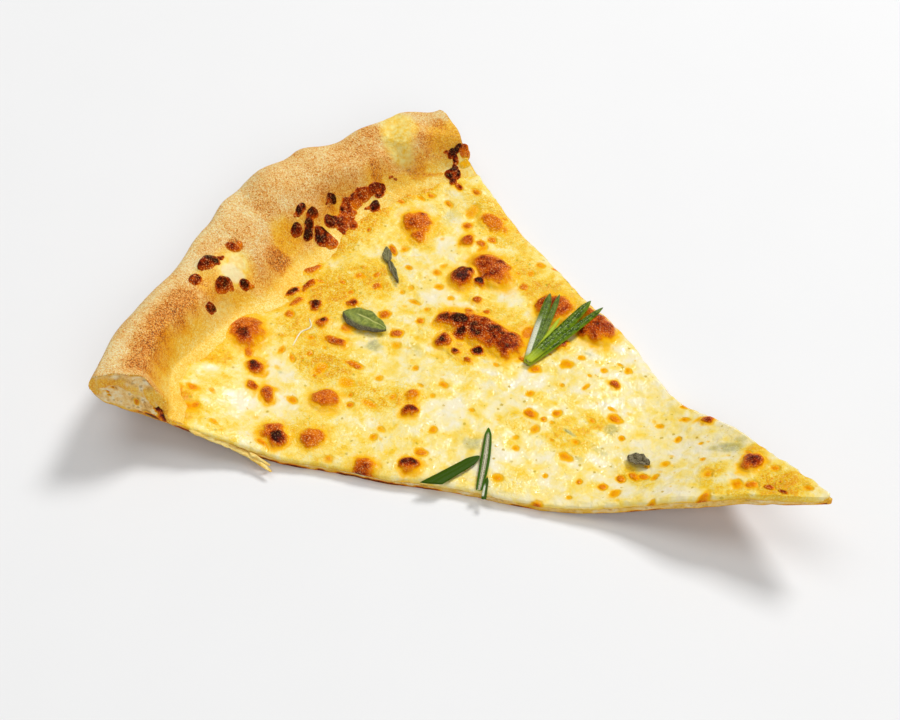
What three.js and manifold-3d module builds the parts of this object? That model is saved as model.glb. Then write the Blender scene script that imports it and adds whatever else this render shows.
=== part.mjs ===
// A slice of white cheese pizza: an eighth of an 18-inch (457 mm) pie, with a few rosemary,
// oregano and thyme leaves on it. The slice has set in the dished shape of a plate, so it
// lies flat in the middle and rises towards the tip and towards the crust.
//
// Millimetres, +Z up, with +X from the crust to the tip. Places on the slice are given by s,
// the distance behind the tip along its centreline, and y, the distance to the left of that
// line, seen from the crust.
import * as THREE from 'three';
import { mergeVertices } from 'three/addons/utils/BufferGeometryUtils.js';
import Module from 'manifold-3d';

// ---- Driving dimensions -------------------------------------------------------------

const HALF_ANGLE = THREE.MathUtils.degToRad(23); // half of the cut's opening angle
const AXIS_TURN = THREE.MathUtils.degToRad(0.75); // the cuts lean a little to the left
const TIP = { y: 0.9, halfWidth: 0.8, length: 30 }; // where it lies, and how blunt it is
const DOUGH_THICKNESS = 2.4; // thin stretched base
const DOUGH_TIP_THICKNESS = 1.7; // pinched at the very tip
const DOUGH_SWELL = { at: 38, reach: 32, height: 0.8 }; // a little thicker behind the tip
const CHEESE_THICKNESS = 1.3;
const GAP = 0.3; // clearance between touching pieces
const RIM_CREST_SETBACK = 14; // from the outermost point of the rim in to its crest
const RIM_UNDERCUT = 5; // length over which the rim's underside rounds up

// The dish: flat within the well, then up its wall, then along the gentler plate rim.
const WELL = { s: 132, y: 3.5, radius: 61, wallSlope: 0.6 };
const PLATE_RIM = { radius: 78, slopeLoss: 0.26 };
const BEND = 28; // length over which the slope changes

// Round the rim, from the right cut (-1) to the left cut (1): the outer radius from the
// tip, the radius at which the cheese ends, and the crest's height over the underside.
const RIM_STATIONS = [
  { at: -1.0, outer: 225, cheese: 201, height: 14 },
  { at: -0.72, outer: 227.3, cheese: 209, height: 13.5 },
  { at: -0.36, outer: 227.2, cheese: 206, height: 12 },
  { at: -0.11, outer: 230.6, cheese: 200, height: 11.5 },
  { at: 0.06, outer: 233.2, cheese: 203, height: 12 },
  { at: 0.2, outer: 233.8, cheese: 201, height: 13 },
  { at: 0.38, outer: 231.6, cheese: 207, height: 12.5 },
  { at: 0.6, outer: 227.3, cheese: 205, height: 9.5 },
  { at: 0.84, outer: 225.4, cheese: 200, height: 9 },
  { at: 1.0, outer: 219, cheese: 197, height: 8 },
];

// Where the cuts wander: side, distance from the tip, half length, and how far outwards.
const CUT_BULGES = [
  { side: 1, at: 72, reach: 24, out: -2.2 },
  { side: 1, at: 103, reach: 18, out: 1.4 },
  { side: 1, at: 160, reach: 18, out: -0.8 },
  { side: -1, at: 86, reach: 22, out: 1.2 },
  { side: -1, at: 24, reach: 14, out: -1 },
];
const RIM_FLARE = 1.6; // the puffed rim stands out past the right cut

// Blisters of browned cheese: place of the centre, half sizes along s and y, and height.
const CHEESE_BLISTERS = [
  { s: 182, y: 48, rs: 7, ry: 5.5, h: 2.2 },
  { s: 163, y: 66, rs: 6, ry: 4, h: 1.2 },
  { s: 162, y: 51, rs: 4, ry: 4.5, h: 1.6 },
  { s: 147, y: 44, rs: 8.5, ry: 6, h: 3.2 },
  { s: 152, y: 36, rs: 6, ry: 5.5, h: 3.0 },
  { s: 118, y: 39, rs: 9, ry: 9, h: 2.2 },
  { s: 101, y: 39, rs: 7.5, ry: 6, h: 3.4 },
  { s: 137, y: 17, rs: 8.5, ry: 7.5, h: 2.8 },
  { s: 125, y: 15, rs: 9, ry: 7, h: 2.3 },
  { s: 136, y: 6, rs: 6, ry: 4.5, h: 1.8 },
  { s: 196, y: -26, rs: 7, ry: 7.5, h: 3.6 },
  { s: 184, y: -37, rs: 4.5, ry: 4, h: 1.8 },
  { s: 176, y: -44, rs: 5.5, ry: 4, h: 1.5 },
  { s: 156, y: -36, rs: 5.5, ry: 5, h: 2.0 },
  { s: 160, y: -57, rs: 6, ry: 5, h: 2.2 },
  { s: 150, y: -50, rs: 5, ry: 4.5, h: 1.7 },
  { s: 131, y: -51, rs: 5, ry: 4.5, h: 1.4 },
  { s: 118, y: -42, rs: 4, ry: 4, h: 1.4 },
  { s: 136, y: -20, rs: 11, ry: 10, h: 2.4 },
  { s: 195, y: 1, rs: 4, ry: 8, h: 2.0 },
  { s: 170, y: -14, rs: 6, ry: 4.5, h: 1.4 },
  { s: 201, y: 38, rs: 4.5, ry: 11, h: 1.8 },
  { s: 183, y: 73, rs: 5.5, ry: 6, h: 2.0 },
  { s: 28, y: 5, rs: 4.5, ry: 4.5, h: 1.8 },
  { s: 60, y: -8, rs: 5, ry: 7, h: 1.2 },
];

// Air bubbles under the crust of the rim, and drops of cheese that baked onto it.
const RIM_BLISTERS = [
  { s: 207, y: -1, rs: 7, ry: 7, h: 1.6 },
  { s: 213, y: -50, rs: 8, ry: 16, h: 1.4 },
  { s: 200, y: 72, rs: 7, ry: 7, h: 1.2 },
  { s: 224, y: 24, rs: 8, ry: 14, h: 1.4 },
  { s: 209, y: 24, rs: 4.5, ry: 6, h: 1.6 },
  { s: 217, y: -20, rs: 4.5, ry: 6, h: 1.6 },
  { s: 209, y: -21, rs: 4.5, ry: 5, h: 1.8 },
];

const DOUGH_CREASE = { s: 199, y: 63, rs: 12, ry: 4, h: -1.6 }; // fold across the rim

// A sliver of baked dough that the cutter pulled out of the right cut.
const SLIVER = { from: [169, -67.4], to: [154, -67.4], width: 3, thickness: 1, start: 1.2, drop: 0.9 };

// Mesh fineness: columns across the slice, and rows along it.
const COLUMNS = 34;
const BASE_ROWS = 33; // under the cheese, closer together towards the rim
const ROW_CROWDING = 0.8;
const RIM_INNER_ROWS = 4;
const RIM_OUTER_ROWS = 6;

const wasm = await Module();
wasm.setup();

// ---- Shape of the whole slice -------------------------------------------------------

const { lerp, clamp, smoothstep } = THREE.MathUtils;

// The point of the model at a place on the slice, z above the surface it lies on.
const pointAt = (s, y, z) => new THREE.Vector3(-s, y, z);

// 0 below x = 0, then a parabola over the length BEND, then a straight slope of 1.
function softRamp(x) {
  if (x <= 0) return 0;
  return x < BEND ? (x * x) / (2 * BEND) : x - BEND / 2;
}

// Height of the slice's underside where it has set in the plate's dished shape.
function dishLift(s, y) {
  const r = Math.hypot(s - WELL.s, y - WELL.y);
  return (
    WELL.wallSlope * softRamp(r - WELL.radius) -
    PLATE_RIM.slopeLoss * softRamp(r - PLATE_RIM.radius)
  );
}

// Smooth interpolation of one of the rim stations' values, at v from -1 to 1.
function rimValue(v, key) {
  let i = 0;
  while (i < RIM_STATIONS.length - 2 && v > RIM_STATIONS[i + 1].at) i++;
  const a = RIM_STATIONS[i];
  const b = RIM_STATIONS[i + 1];
  return lerp(a[key], b[key], smoothstep(v, a.at, b.at));
}

// A gentle unevenness, from -1 to 1, that no two places share.
function swell(s, y) {
  return (
    0.5 * Math.sin(s * 0.21 + 1.7 * Math.sin(y * 0.11)) +
    0.5 * Math.cos(y * 0.27 + 1.3 * Math.sin(s * 0.13 + 2))
  );
}

// 1 at the place `at`, falling smoothly to 0 at the distance `reach` from it.
const hump = (x, { at, reach }) => 1 - smoothstep(Math.abs(x - at), 0, reach);

// How far a cut stands out from its straight line, at the distance rho from the tip.
function cutBulge(rho, side) {
  const own = CUT_BULGES.filter((one) => one.side === side);
  return own.reduce((sum, one) => sum + one.out * hump(rho, one), 0);
}

// Plan position at the distance rho from the tip on the ray v, from -1 to 1.
function planPoint(rho, v) {
  const angle = v * HALF_ANGLE + AXIS_TURN;
  const blunt = 1 - smoothstep(rho, 0, TIP.length);
  const s = rho * Math.cos(angle) + v * v * blunt;
  const y = rho * Math.sin(angle) + TIP.y + TIP.halfWidth * v * blunt;
  const ragged = 0.4 * swell(rho * 0.9, 40 * v) + cutBulge(rho, Math.sign(v));
  const flare = v < 0 ? RIM_FLARE * smoothstep(rho, 195, 220) : 0;
  return [s, y + v ** 5 * (ragged + flare)];
}

// A dome: h in the middle, 0 from the edge of the ellipse outwards.
function dome({ s, y, rs, ry, h }, ps, py) {
  const d2 = ((ps - s) / rs) ** 2 + ((py - y) / ry) ** 2;
  return d2 < 1 ? h * (1 - d2) ** 1.3 : 0;
}

function domes(list, ps, py) {
  return list.reduce((sum, one) => sum + dome(one, ps, py), 0);
}

// Height of the dough's top over its underside, inside the rim.
function baseThickness(rho) {
  const plain = lerp(DOUGH_TIP_THICKNESS, DOUGH_THICKNESS, smoothstep(rho, 0, 25));
  return plain + DOUGH_SWELL.height * hump(rho, DOUGH_SWELL);
}

// ---- Building closed solids ----------------------------------------------------------

// The solid between two surfaces given as rows of points, walled in round their edges.
// Both surfaces are split into triangles alike, and they may share points at an edge.
function slab(top, bottom) {
  const rows = top.length;
  const cols = top[0].length;
  const under = rows * cols;
  const index = [];
  const quad = (a, b, c, d) => index.push(a, b, c, a, c, d);
  for (let r = 0; r + 1 < rows; r++) {
    for (let c = 0; c + 1 < cols; c++) {
      const a = r * cols + c;
      quad(a, a + 1, a + cols + 1, a + cols);
      quad(under + a, under + a + cols, under + a + cols + 1, under + a + 1);
    }
  }
  const edge = [];
  for (let c = 0; c < cols - 1; c++) edge.push(c);
  for (let r = 0; r < rows - 1; r++) edge.push(r * cols + cols - 1);
  for (let c = cols - 1; c > 0; c--) edge.push((rows - 1) * cols + c);
  for (let r = rows - 1; r > 0; r--) edge.push(r * cols);
  edge.forEach((a, k) => {
    const b = edge[(k + 1) % edge.length];
    quad(b, a, under + a, under + b);
  });
  const positions = [...top, ...bottom].flat().flatMap((p) => [p.x, p.y, p.z]);
  const geometry = new THREE.BufferGeometry();
  geometry.setAttribute('position', new THREE.Float32BufferAttribute(positions, 3));
  geometry.setIndex(index);
  return solidOf(geometry);
}

// Merges a closed surface's shared vertices, drops its collapsed triangles, and turns it
// so that its faces point outwards.
function solidOf(geometry) {
  const merged = mergeVertices(geometry, 1e-4);
  const p = merged.attributes.position.array;
  const triangles = [];
  let volume = 0;
  for (let i = 0; i < merged.index.count; i += 3) {
    const [a, b, c] = merged.index.array.slice(i, i + 3);
    if (a === b || b === c || c === a) continue;
    const [pa, pb, pc] = [a, b, c].map((k) => new THREE.Vector3().fromArray(p, k * 3));
    volume += pa.dot(pb.cross(pc));
    triangles.push([a, b, c]);
  }
  if (volume < 0) triangles.forEach((one) => one.reverse());
  const triVerts = new Uint32Array(triangles.flat());
  return new wasm.Manifold(new wasm.Mesh({ numProp: 3, vertProperties: p, triVerts }));
}

function geometryOf(solid) {
  const mesh = solid.getMesh();
  const geometry = new THREE.BufferGeometry();
  geometry.setAttribute('position', new THREE.Float32BufferAttribute(mesh.vertProperties, 3));
  geometry.setIndex(new THREE.BufferAttribute(mesh.triVerts, 1));
  geometry.computeVertexNormals();
  return geometry;
}

const fuse = (solids) => solids.reduce((whole, one) => whole.add(one));

// ---- Crust: the dough base and the puffed rim ----------------------------------------

const columnValues = Array.from({ length: COLUMNS + 1 }, (_, i) => (2 * i) / COLUMNS - 1);

// Distances from the tip of the rows under the cheese, along the ray v.
function baseRows(v) {
  const foot = rimValue(v, 'cheese');
  return Array.from({ length: BASE_ROWS }, (_, i) => foot * (i / BASE_ROWS) ** ROW_CROWDING);
}

// Section of the dough along the ray v, from the tip outwards: each entry has the distance
// from the tip and the heights of the top and bottom over the slice's underside.
function doughSection(v) {
  const outer = rimValue(v, 'outer');
  const foot = rimValue(v, 'cheese');
  const height = rimValue(v, 'height');
  const crest = outer - RIM_CREST_SETBACK;
  const belly = height * 0.42; // where the rim is widest
  const base = baseRows(v).map((rho) => [rho, baseThickness(rho), 0]);
  const inner = Array.from({ length: RIM_INNER_ROWS }, (_, i) => {
    const t = i / RIM_INNER_ROWS;
    return [lerp(foot, crest, t), lerp(baseThickness(foot), height, smoothstep(t, 0, 1)), 0];
  });
  const round = Array.from({ length: RIM_OUTER_ROWS }, (_, i) => {
    const turn = (i / RIM_OUTER_ROWS) * (Math.PI / 2);
    const rho = crest + RIM_CREST_SETBACK * Math.sin(turn);
    const under = clamp((rho - outer + RIM_UNDERCUT) / RIM_UNDERCUT, 0, 1);
    return [
      rho,
      belly + (height - belly) * Math.cos(turn) ** 0.8,
      belly * (1 - Math.sqrt(1 - under * under)),
    ];
  });
  return [...base, ...inner, ...round, [outer, belly, belly]];
}

// Unevenness of the rim's top, fading out towards the base and the widest line.
function rimRelief(s, y, height) {
  const share = smoothstep(height, DOUGH_THICKNESS + 0.2, 7.5);
  const lumps = 0.55 * swell(s * 1.3, y * 1.1 + 20) + domes(RIM_BLISTERS, s, y);
  return share * (lumps + dome(DOUGH_CREASE, s, y));
}

function crustPoint(rho, v, height, isTop) {
  const [s, y] = planPoint(rho, v);
  const relief = isTop ? rimRelief(s, y, height) : 0;
  return pointAt(s, y, dishLift(s, y) + height + relief);
}

// A flat spike that starts inside the dough of the right cut and droops beside it.
function sliverSolid() {
  const start = new THREE.Vector2(...SLIVER.from);
  const along = new THREE.Vector2(...SLIVER.to).sub(start);
  const side = new THREE.Vector2(-along.y, along.x).normalize();
  const steps = 8;
  const face = (up) =>
    Array.from({ length: steps + 1 }, (_, i) => {
      const t = i / steps;
      const centre = start.clone().addScaledVector(along, t);
      return [-0.5, 0.5].map((across) => {
        const p = centre.clone().addScaledVector(side, across * SLIVER.width * (1 - 0.9 * t));
        const rise = SLIVER.start - SLIVER.drop * t * t + up * SLIVER.thickness * (1 - 0.5 * t);
        return pointAt(p.x, p.y, dishLift(p.x, p.y) + rise);
      });
    });
  return slab(face(1), face(0));
}

function crustSolid() {
  const sections = columnValues.map((v) => doughSection(v));
  const face = (level) =>
    sections.map((section, i) =>
      section.map((row) => crustPoint(row[0], columnValues[i], row[level], level === 1)),
    );
  return slab(face(1), face(2)).add(sliverSolid());
}

// ---- Cheese: the melted layer --------------------------------------------------------

// Depth of the cheese over the dough, at a plan position and a distance rho along ray v.
function cheeseDepth(s, y, rho, v) {
  const end = rimValue(v, 'cheese');
  const edge = 1 - 0.4 * smoothstep(Math.abs(v), 0.93, 1); // it rounds off at the cuts
  const atRim = clamp((end - rho) / 9, 0, 1) ** 0.6;
  const atTip = lerp(0.55, 1, smoothstep(rho, 0, 30));
  const layer = (CHEESE_THICKNESS + 0.35 * swell(s, y)) * edge * atTip;
  return 0.4 + (layer + domes(CHEESE_BLISTERS, s, y) * (0.5 + 0.5 * edge)) * atRim;
}

// A point of the cheese's underside, or of its top if onTop.
function cheesePoint(rho, v, onTop) {
  const [s, y] = planPoint(rho, v);
  const below = dishLift(s, y) + baseThickness(rho) + GAP;
  return pointAt(s, y, below + (onTop ? cheeseDepth(s, y, rho, v) : 0));
}

// Height of the cheese's surface at a plan position, for what lies on it.
function cheeseTop(s, y) {
  const rho = Math.hypot(s, y - TIP.y);
  const v = clamp((Math.atan2(y - TIP.y, s) - AXIS_TURN) / HALF_ANGLE, -1, 1);
  return dishLift(s, y) + baseThickness(rho) + GAP + cheeseDepth(s, y, rho, v);
}

function cheeseSolid() {
  const face = (onTop) =>
    columnValues.map((v) => {
      const rows = [...baseRows(v), rimValue(v, 'cheese')];
      rows[0] = 1;
      rows[rows.length - 1] -= 0.4;
      return rows.map((rho) => cheesePoint(rho, v, onTop));
    });
  return slab(face(true), face(false));
}

// ---- Herbs ---------------------------------------------------------------------------

// Highest point of the cheese within a small reach, so that a stiff leaf clears it.
function restHeight(s, y, reach) {
  let highest = -Infinity;
  for (let i = -2; i <= 2; i++) {
    for (let j = -2; j <= 2; j++) {
      highest = Math.max(highest, cheeseTop(s + (i * reach) / 2, y + (j * reach) / 2));
    }
  }
  return highest;
}

// Rows of points along a leaf from its base to its tip. Each row has the given places
// across it, from -1 to 1, and shape gives its half width and rise from t and the place.
function leafRows({ from, to }, steps, places, shape) {
  const start = new THREE.Vector2(...from);
  const along = new THREE.Vector2(...to).sub(start);
  const side = new THREE.Vector2(-along.y, along.x).normalize();
  return Array.from({ length: steps + 1 }, (_, i) => {
    const t = i / steps;
    const centre = start.clone().addScaledVector(along, t);
    return places.map((across, k) => {
      const [half, z] = shape(t, across, k, centre);
      const p = centre.clone().addScaledVector(side, across * half);
      return pointAt(p.x, p.y, z);
    });
  });
}

// A rosemary needle: a narrow thick leaf, domed on top, with its edges rolled under. It
// starts `lift` over the cheese and rises by `rise` more at its tip.
function needleSolid({ from, to, width, lift = 0, rise = 0 }) {
  const places = [-1, -0.6, 0, 0.6, 1];
  const domed = [0.1, 0.42, 0.5, 0.42, 0.1];
  const grooved = [0.1, -0.3, -0.18, -0.3, 0.1];
  const face = (profile) =>
    leafRows({ from, to }, 12, places, (t, across, k, centre) => {
      const swollen = 0.3 + 0.7 * Math.sin(Math.PI * clamp(0.08 + 0.9 * t, 0, 1)) ** 0.55;
      const rest = restHeight(centre.x, centre.y, 2.5) + GAP + 0.5 + lift + rise * t;
      return [0.5 * width * swollen, rest + profile[k] * width * 0.45 * swollen];
    });
  return slab(face(domed), face(grooved));
}

// A small broad leaf: a thin wavy solid, folded a little along its midrib.
function leafSolid({ from, to, width, thickness = 0.7, fold = 0.25, curl = 0.6 }) {
  const places = [-1, -0.5, 0, 0.5, 1];
  const face = (up) =>
    leafRows({ from, to }, 10, places, (t, across, k, centre) => {
      const half = 0.5 * width * (0.12 + 0.88 * Math.sin(Math.PI * t ** 0.85) ** 0.8);
      const rest = restHeight(centre.x, centre.y, width * 0.6) + GAP + 0.25;
      const wave = fold * half * Math.abs(across) + 0.12 * Math.sin(9 * t + 2 * across);
      return [half, rest + curl * t * t + wave + up];
    });
  return slab(face(thickness), face(0));
}

// Five needles that grow from one short stub of stem.
const SPRIG_BASE = [112.4, 13.2];
const SPRIG_NEEDLES = [
  { to: [122.8, 43.5], width: 3.2 },
  { to: [119, 44.5], width: 2.6, rise: 0.6 },
  { to: [114.8, 36.9], width: 1.8, lift: 0.5, rise: 0.8 },
  { to: [110, 46.5], width: 3.4, lift: 0.2, rise: 0.6 },
  { to: [105.2, 47], width: 2.8 },
];

const herbSolids = {
  rosemary_sprig: fuse(SPRIG_NEEDLES.map((one) => needleSolid({ from: SPRIG_BASE, ...one }))),
  rosemary_needle_dark: needleSolid({ from: [109.7, -45.2], to: [103.6, -30], width: 3.6 }),
  rosemary_needle_pale: fuse([
    needleSolid({ from: [95.3, -39.6], to: [107, -17.1], width: 3.2, lift: 0.6 }),
    needleSolid({ from: [92.7, -40.2], to: [96.6, -34], width: 2.2, lift: 0.6 }),
  ]),
  oregano_leaf: leafSolid({ from: [175.7, -2.6], to: [159.6, -1], width: 7.6 }),
  thyme_sprig: fuse([
    leafSolid({ from: [177.6, 26.6], to: [182.8, 32.8], width: 3.2, curl: 0.2 }),
    needleSolid({ from: [179, 28], to: [169.3, 20.8], width: 2 }),
  ]),
  thyme_leaf: leafSolid({ from: [64.6, -3], to: [56.8, -3.4], width: 4.6, fold: 0.4, curl: 0.2 }),
};

// ---- Assembly ------------------------------------------------------------------------

const finish = (color, roughness) =>
  new THREE.MeshStandardMaterial({ color, roughness, metalness: 0 });

const materials = {
  crust: finish(0xd9a05b, 0.75),
  cheese: finish(0xf3dd8f, 0.35),
  rosemary: finish(0x3d5f1e, 0.5),
  thyme: finish(0x5d6b45, 0.6),
};

const pieces = [
  ['crust', crustSolid(), materials.crust],
  ['cheese', cheeseSolid(), materials.cheese],
  ...Object.entries(herbSolids).map(([name, solid]) => [
    name,
    solid,
    name.startsWith('rosemary') ? materials.rosemary : materials.thyme,
  ]),
];

const pizzaSlice = new THREE.Group();
for (const [name, solid, material] of pieces) {
  const mesh = new THREE.Mesh(geometryOf(solid), material);
  mesh.name = name;
  pizzaSlice.add(mesh);
}

// The origin is the centre of the bounding box's lowest face.
const box = new THREE.Box3().setFromObject(pizzaSlice, true);
const middle = box.getCenter(new THREE.Vector3());
for (const mesh of pizzaSlice.children) mesh.position.set(-middle.x, -middle.y, -box.min.z);

export default pizzaSlice;
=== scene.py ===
import math

import bmesh
import bpy
import numpy as np
from mathutils import Matrix, Vector


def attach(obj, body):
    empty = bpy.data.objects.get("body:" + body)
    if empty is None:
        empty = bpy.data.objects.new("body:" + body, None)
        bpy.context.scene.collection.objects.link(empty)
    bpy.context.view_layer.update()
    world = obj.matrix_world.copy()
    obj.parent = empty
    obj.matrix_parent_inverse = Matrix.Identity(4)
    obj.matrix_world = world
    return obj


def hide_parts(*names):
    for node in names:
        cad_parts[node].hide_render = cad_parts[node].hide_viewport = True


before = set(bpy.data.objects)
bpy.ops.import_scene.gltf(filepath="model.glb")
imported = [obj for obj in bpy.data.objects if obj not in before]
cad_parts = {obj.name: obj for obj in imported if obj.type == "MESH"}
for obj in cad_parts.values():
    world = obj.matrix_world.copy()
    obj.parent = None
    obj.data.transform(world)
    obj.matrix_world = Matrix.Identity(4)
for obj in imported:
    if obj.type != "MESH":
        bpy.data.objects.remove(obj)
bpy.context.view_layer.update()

# ---- Crust ----------------------------------------------------------------------------
# Wheat dough, stretched to about 2.4 mm and cut as an eighth of a round pie. The oven puffed
# its edge up into a rim, which is dusted with coarse meal and browned in patches. The slice
# cooled on a plate, so it has set in the plate's dished shape.
#
# Places on the slice are in mm: s is the distance behind the tip along the centreline, y the
# distance to the left of it, seen from the rim, and z the height over the table.

MM = 0.001
ORIGIN_S = 116.521
ORIGIN_Y = 1.743
# The wedge: half its opening, the turn of its centreline, and its blunt tip.
HALF_ANGLE = math.radians(23)
AXIS_TURN = math.radians(0.75)
TIP_Y = 0.9
TIP_HALF_WIDTH = 0.8
TIP_LENGTH = 30
# The base, which is thinner at the tip and a little swollen behind it.
DOUGH_THICKNESS = 2.4
DOUGH_TIP_THICKNESS = 1.7
DOUGH_SWELL_AT = 38
DOUGH_SWELL_REACH = 32
DOUGH_SWELL = 0.8
# The rim: the crest's distance from the outer edge, the undercut's depth, the height at which
# it is widest as a share of its own, how far it stands out past the right cut, and between
# which distances from the tip that sets in.
RIM_SETBACK = 14
RIM_UNDERCUT = 5
RIM_BELLY = 0.42
RIM_FLARE = 1.6
RIM_FLARE_FROM = 195
RIM_FLARE_TO = 220
# The dish: a flat well, its sloping wall, and a flatter rim. Slopes set in over BEND.
WELL_S = 132
WELL_Y = 3.5
WELL_RADIUS = 61
WELL_SLOPE = 0.6
PLATE_RIM_RADIUS = 78
PLATE_RIM_SLOPE_LOSS = 0.26
BEND = 28

# Round the rim from the right cut to the left cut: where (-1 to 1), the outer radius, the
# radius at which the cheese ends, and the crest's height over the underside.
RIM_AT, RIM_OUTER, RIM_FOOT, RIM_HEIGHT = np.array([
    (-1.0, 225, 201, 14), (-0.72, 227.3, 209, 13.5), (-0.36, 227.2, 206, 12), (-0.11, 230.6, 200, 11.5),
    (0.06, 233.2, 203, 12), (0.2, 233.8, 201, 13), (0.38, 231.6, 207, 12.5), (0.6, 227.3, 205, 9.5),
    (0.84, 225.4, 200, 9), (1.0, 219, 197, 8),
]).T
# Where the cuts wander: side, distance from the tip, half length, and how far outwards.
CUT_BULGES = (
    (1, 72, 24, -2.2), (1, 103, 18, 1.4), (1, 160, 18, -0.8), (-1, 86, 22, 1.2), (-1, 24, 14, -1),
)
# Air bubbles under the rim's skin and one fold: centre, half sizes along s and y, height.
RIM_LUMPS = (
    (207, -1, 7, 7, 1.6), (213, -50, 8, 16, 1.4), (200, 72, 7, 7, 1.2), (224, 24, 8, 14, 1.4),
    (209, 24, 4.5, 6, 1.6), (217, -20, 4.5, 6, 1.6), (209, -21, 4.5, 5, 1.8), (199, 63, 12, 4, -1.6),
)

# Corners along each side of the lattice behind mottle, after which it repeats.
LATTICE = 256


def ease(x, low, high):
    """0 up to low, 1 from high on, and 3t^2 - 2t^3 of the share t of the way between."""
    t = np.clip((x - low) / (high - low), 0, 1)
    return t * t * (3 - 2 * t)


def blend(a, b, share):
    """a + (b - a) share."""
    return a + (b - a) * share


def mottle(a, b, size, seed):
    """Smooth random values from -1 to 1 over a plane: random numbers at the corners of a square
    lattice of the given size, blended between the corners with 3t^2 - 2t^3."""
    corner = np.random.default_rng(seed).uniform(-1, 1, (LATTICE, LATTICE))
    turn = seed * 1.3
    x = (a * math.cos(turn) + b * math.sin(turn)) / size
    y = (b * math.cos(turn) - a * math.sin(turn)) / size
    i, j = np.floor(x).astype(int), np.floor(y).astype(int)
    u, w = ease(x - i, 0, 1), ease(y - j, 0, 1)
    i0, i1, j0, j1 = (k % LATTICE for k in (i, i + 1, j, j + 1))
    return blend(
        blend(corner[i0, j0], corner[i1, j0], u), blend(corner[i0, j1], corner[i1, j1], u), w
    )


def rough(a, b, size, seed):
    """Three layers of mottle, each half as large and half as strong as the one before."""
    return (
        mottle(a, b, size, seed) + mottle(a, b, size / 2, seed + 1) / 2
        + mottle(a, b, size / 4, seed + 2) / 4
    ) / 1.75


def soft_ramp(x):
    """0 below 0, then x^2 / (2 BEND) up to BEND, then the straight slope x - BEND / 2."""
    up = np.maximum(x, 0)
    return np.where(up < BEND, up * up / (2 * BEND), up - BEND / 2)


def dish_lift(s, y):
    """Height of the slice's underside: 0 within the well, a slope up its wall, and from the
    plate's rim on that slope less the rim's loss."""
    r = np.hypot(s - WELL_S, y - WELL_Y)
    return WELL_SLOPE * soft_ramp(r - WELL_RADIUS) - PLATE_RIM_SLOPE_LOSS * soft_ramp(
        r - PLATE_RIM_RADIUS
    )


def rim_value(v, values):
    """One of the rim's values at v from -1 to 1, blended between stations with 3t^2 - 2t^3."""
    i = np.clip(np.searchsorted(RIM_AT, v, side="right") - 1, 0, len(RIM_AT) - 2)
    return blend(values[i], values[i + 1], ease(v, RIM_AT[i], RIM_AT[i + 1]))


def swell(s, y):
    """A gentle unevenness from -1 to 1: half a sine along s and half a cosine along y, each
    shifted by a sine of the other."""
    return 0.5 * np.sin(s * 0.21 + 1.7 * np.sin(y * 0.11)) + 0.5 * np.cos(
        y * 0.27 + 1.3 * np.sin(s * 0.13 + 2)
    )


def plan_point(rho, v):
    """Place (s, y) at the distance rho from the tip on the ray v: polar coordinates with a
    blunted tip, cuts that wander, and a rim that stands out past the right cut."""
    angle = v * HALF_ANGLE + AXIS_TURN
    blunt = 1 - ease(rho, 0, TIP_LENGTH)
    s = rho * np.cos(angle) + v * v * blunt
    y = rho * np.sin(angle) + TIP_Y + TIP_HALF_WIDTH * v * blunt
    flare = np.where(v < 0, RIM_FLARE * ease(rho, RIM_FLARE_FROM, RIM_FLARE_TO), 0)
    out = 0.4 * swell(rho * 0.9, 40 * v) + flare
    torn = blend(0.9, 0.4, ease(rho, 15, 50)) * rough(rho, np.sign(v) * 40, 3.4, 27)
    out = out + torn * ease(rho, 1, 8)
    for side, at, reach, bulge in CUT_BULGES:
        out = out + np.where(v * side > 0, bulge * (1 - ease(np.abs(rho - at), 0, reach)), 0)
    return s, y + v**5 * out


def polar(s, y):
    """Distance from the tip and ray v of a place: plan_point turned round, without the ends."""
    v = (np.arctan2(y - TIP_Y, s) - AXIS_TURN) / HALF_ANGLE
    return np.hypot(s, y - TIP_Y), np.clip(v, -1, 1)


def base_height(rho):
    """Thickness of the dough under the cheese: thinner at the tip, a little more behind it."""
    plain = blend(DOUGH_TIP_THICKNESS, DOUGH_THICKNESS, ease(rho, 0, 25))
    return plain + DOUGH_SWELL * (1 - ease(np.abs(rho - DOUGH_SWELL_AT), 0, DOUGH_SWELL_REACH))


def dough_height(rho, v):
    """Height of the dough's top over its underside. It rises from the cheese's end to the crest
    with 3t^2 - 2t^3, and falls beyond it with cos^0.8 to the belly, where the rim is widest."""
    outer, foot, height = (rim_value(v, one) for one in (RIM_OUTER, RIM_FOOT, RIM_HEIGHT))
    crest = outer - RIM_SETBACK
    inner = blend(base_height(rho), height, ease(rho, foot, crest))
    drop = np.sqrt(np.clip(1 - ((rho - crest) / RIM_SETBACK) ** 2, 0, 1)) ** 0.8
    return np.where(rho < crest, inner, blend(RIM_BELLY * height, height, drop))


def rim_relief(s, y, height):
    """Lumps, bubbles, the fold and fine crags of the rim, fading out towards the base."""
    share = ease(height, DOUGH_THICKNESS + 0.2, 7.5)
    lumps = 0.55 * swell(s * 1.3, y * 1.1 + 20)
    for at_s, at_y, half_s, half_y, rise in RIM_LUMPS:
        d = ((s - at_s) / half_s) ** 2 + ((y - at_y) / half_y) ** 2
        lumps = lumps + rise * np.clip(1 - d, 0, 1) ** 1.3
    return share * (lumps + 0.28 * rough(s, y, 6, 3)) + 0.05 * mottle(s, y, 1.1, 8)


def crust_top(s, y):
    """Height of the dough's top over the table at a place."""
    rho, v = polar(s, y)
    height = dough_height(rho, v)
    return dish_lift(s, y) + height + rim_relief(s, y, height)


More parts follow.
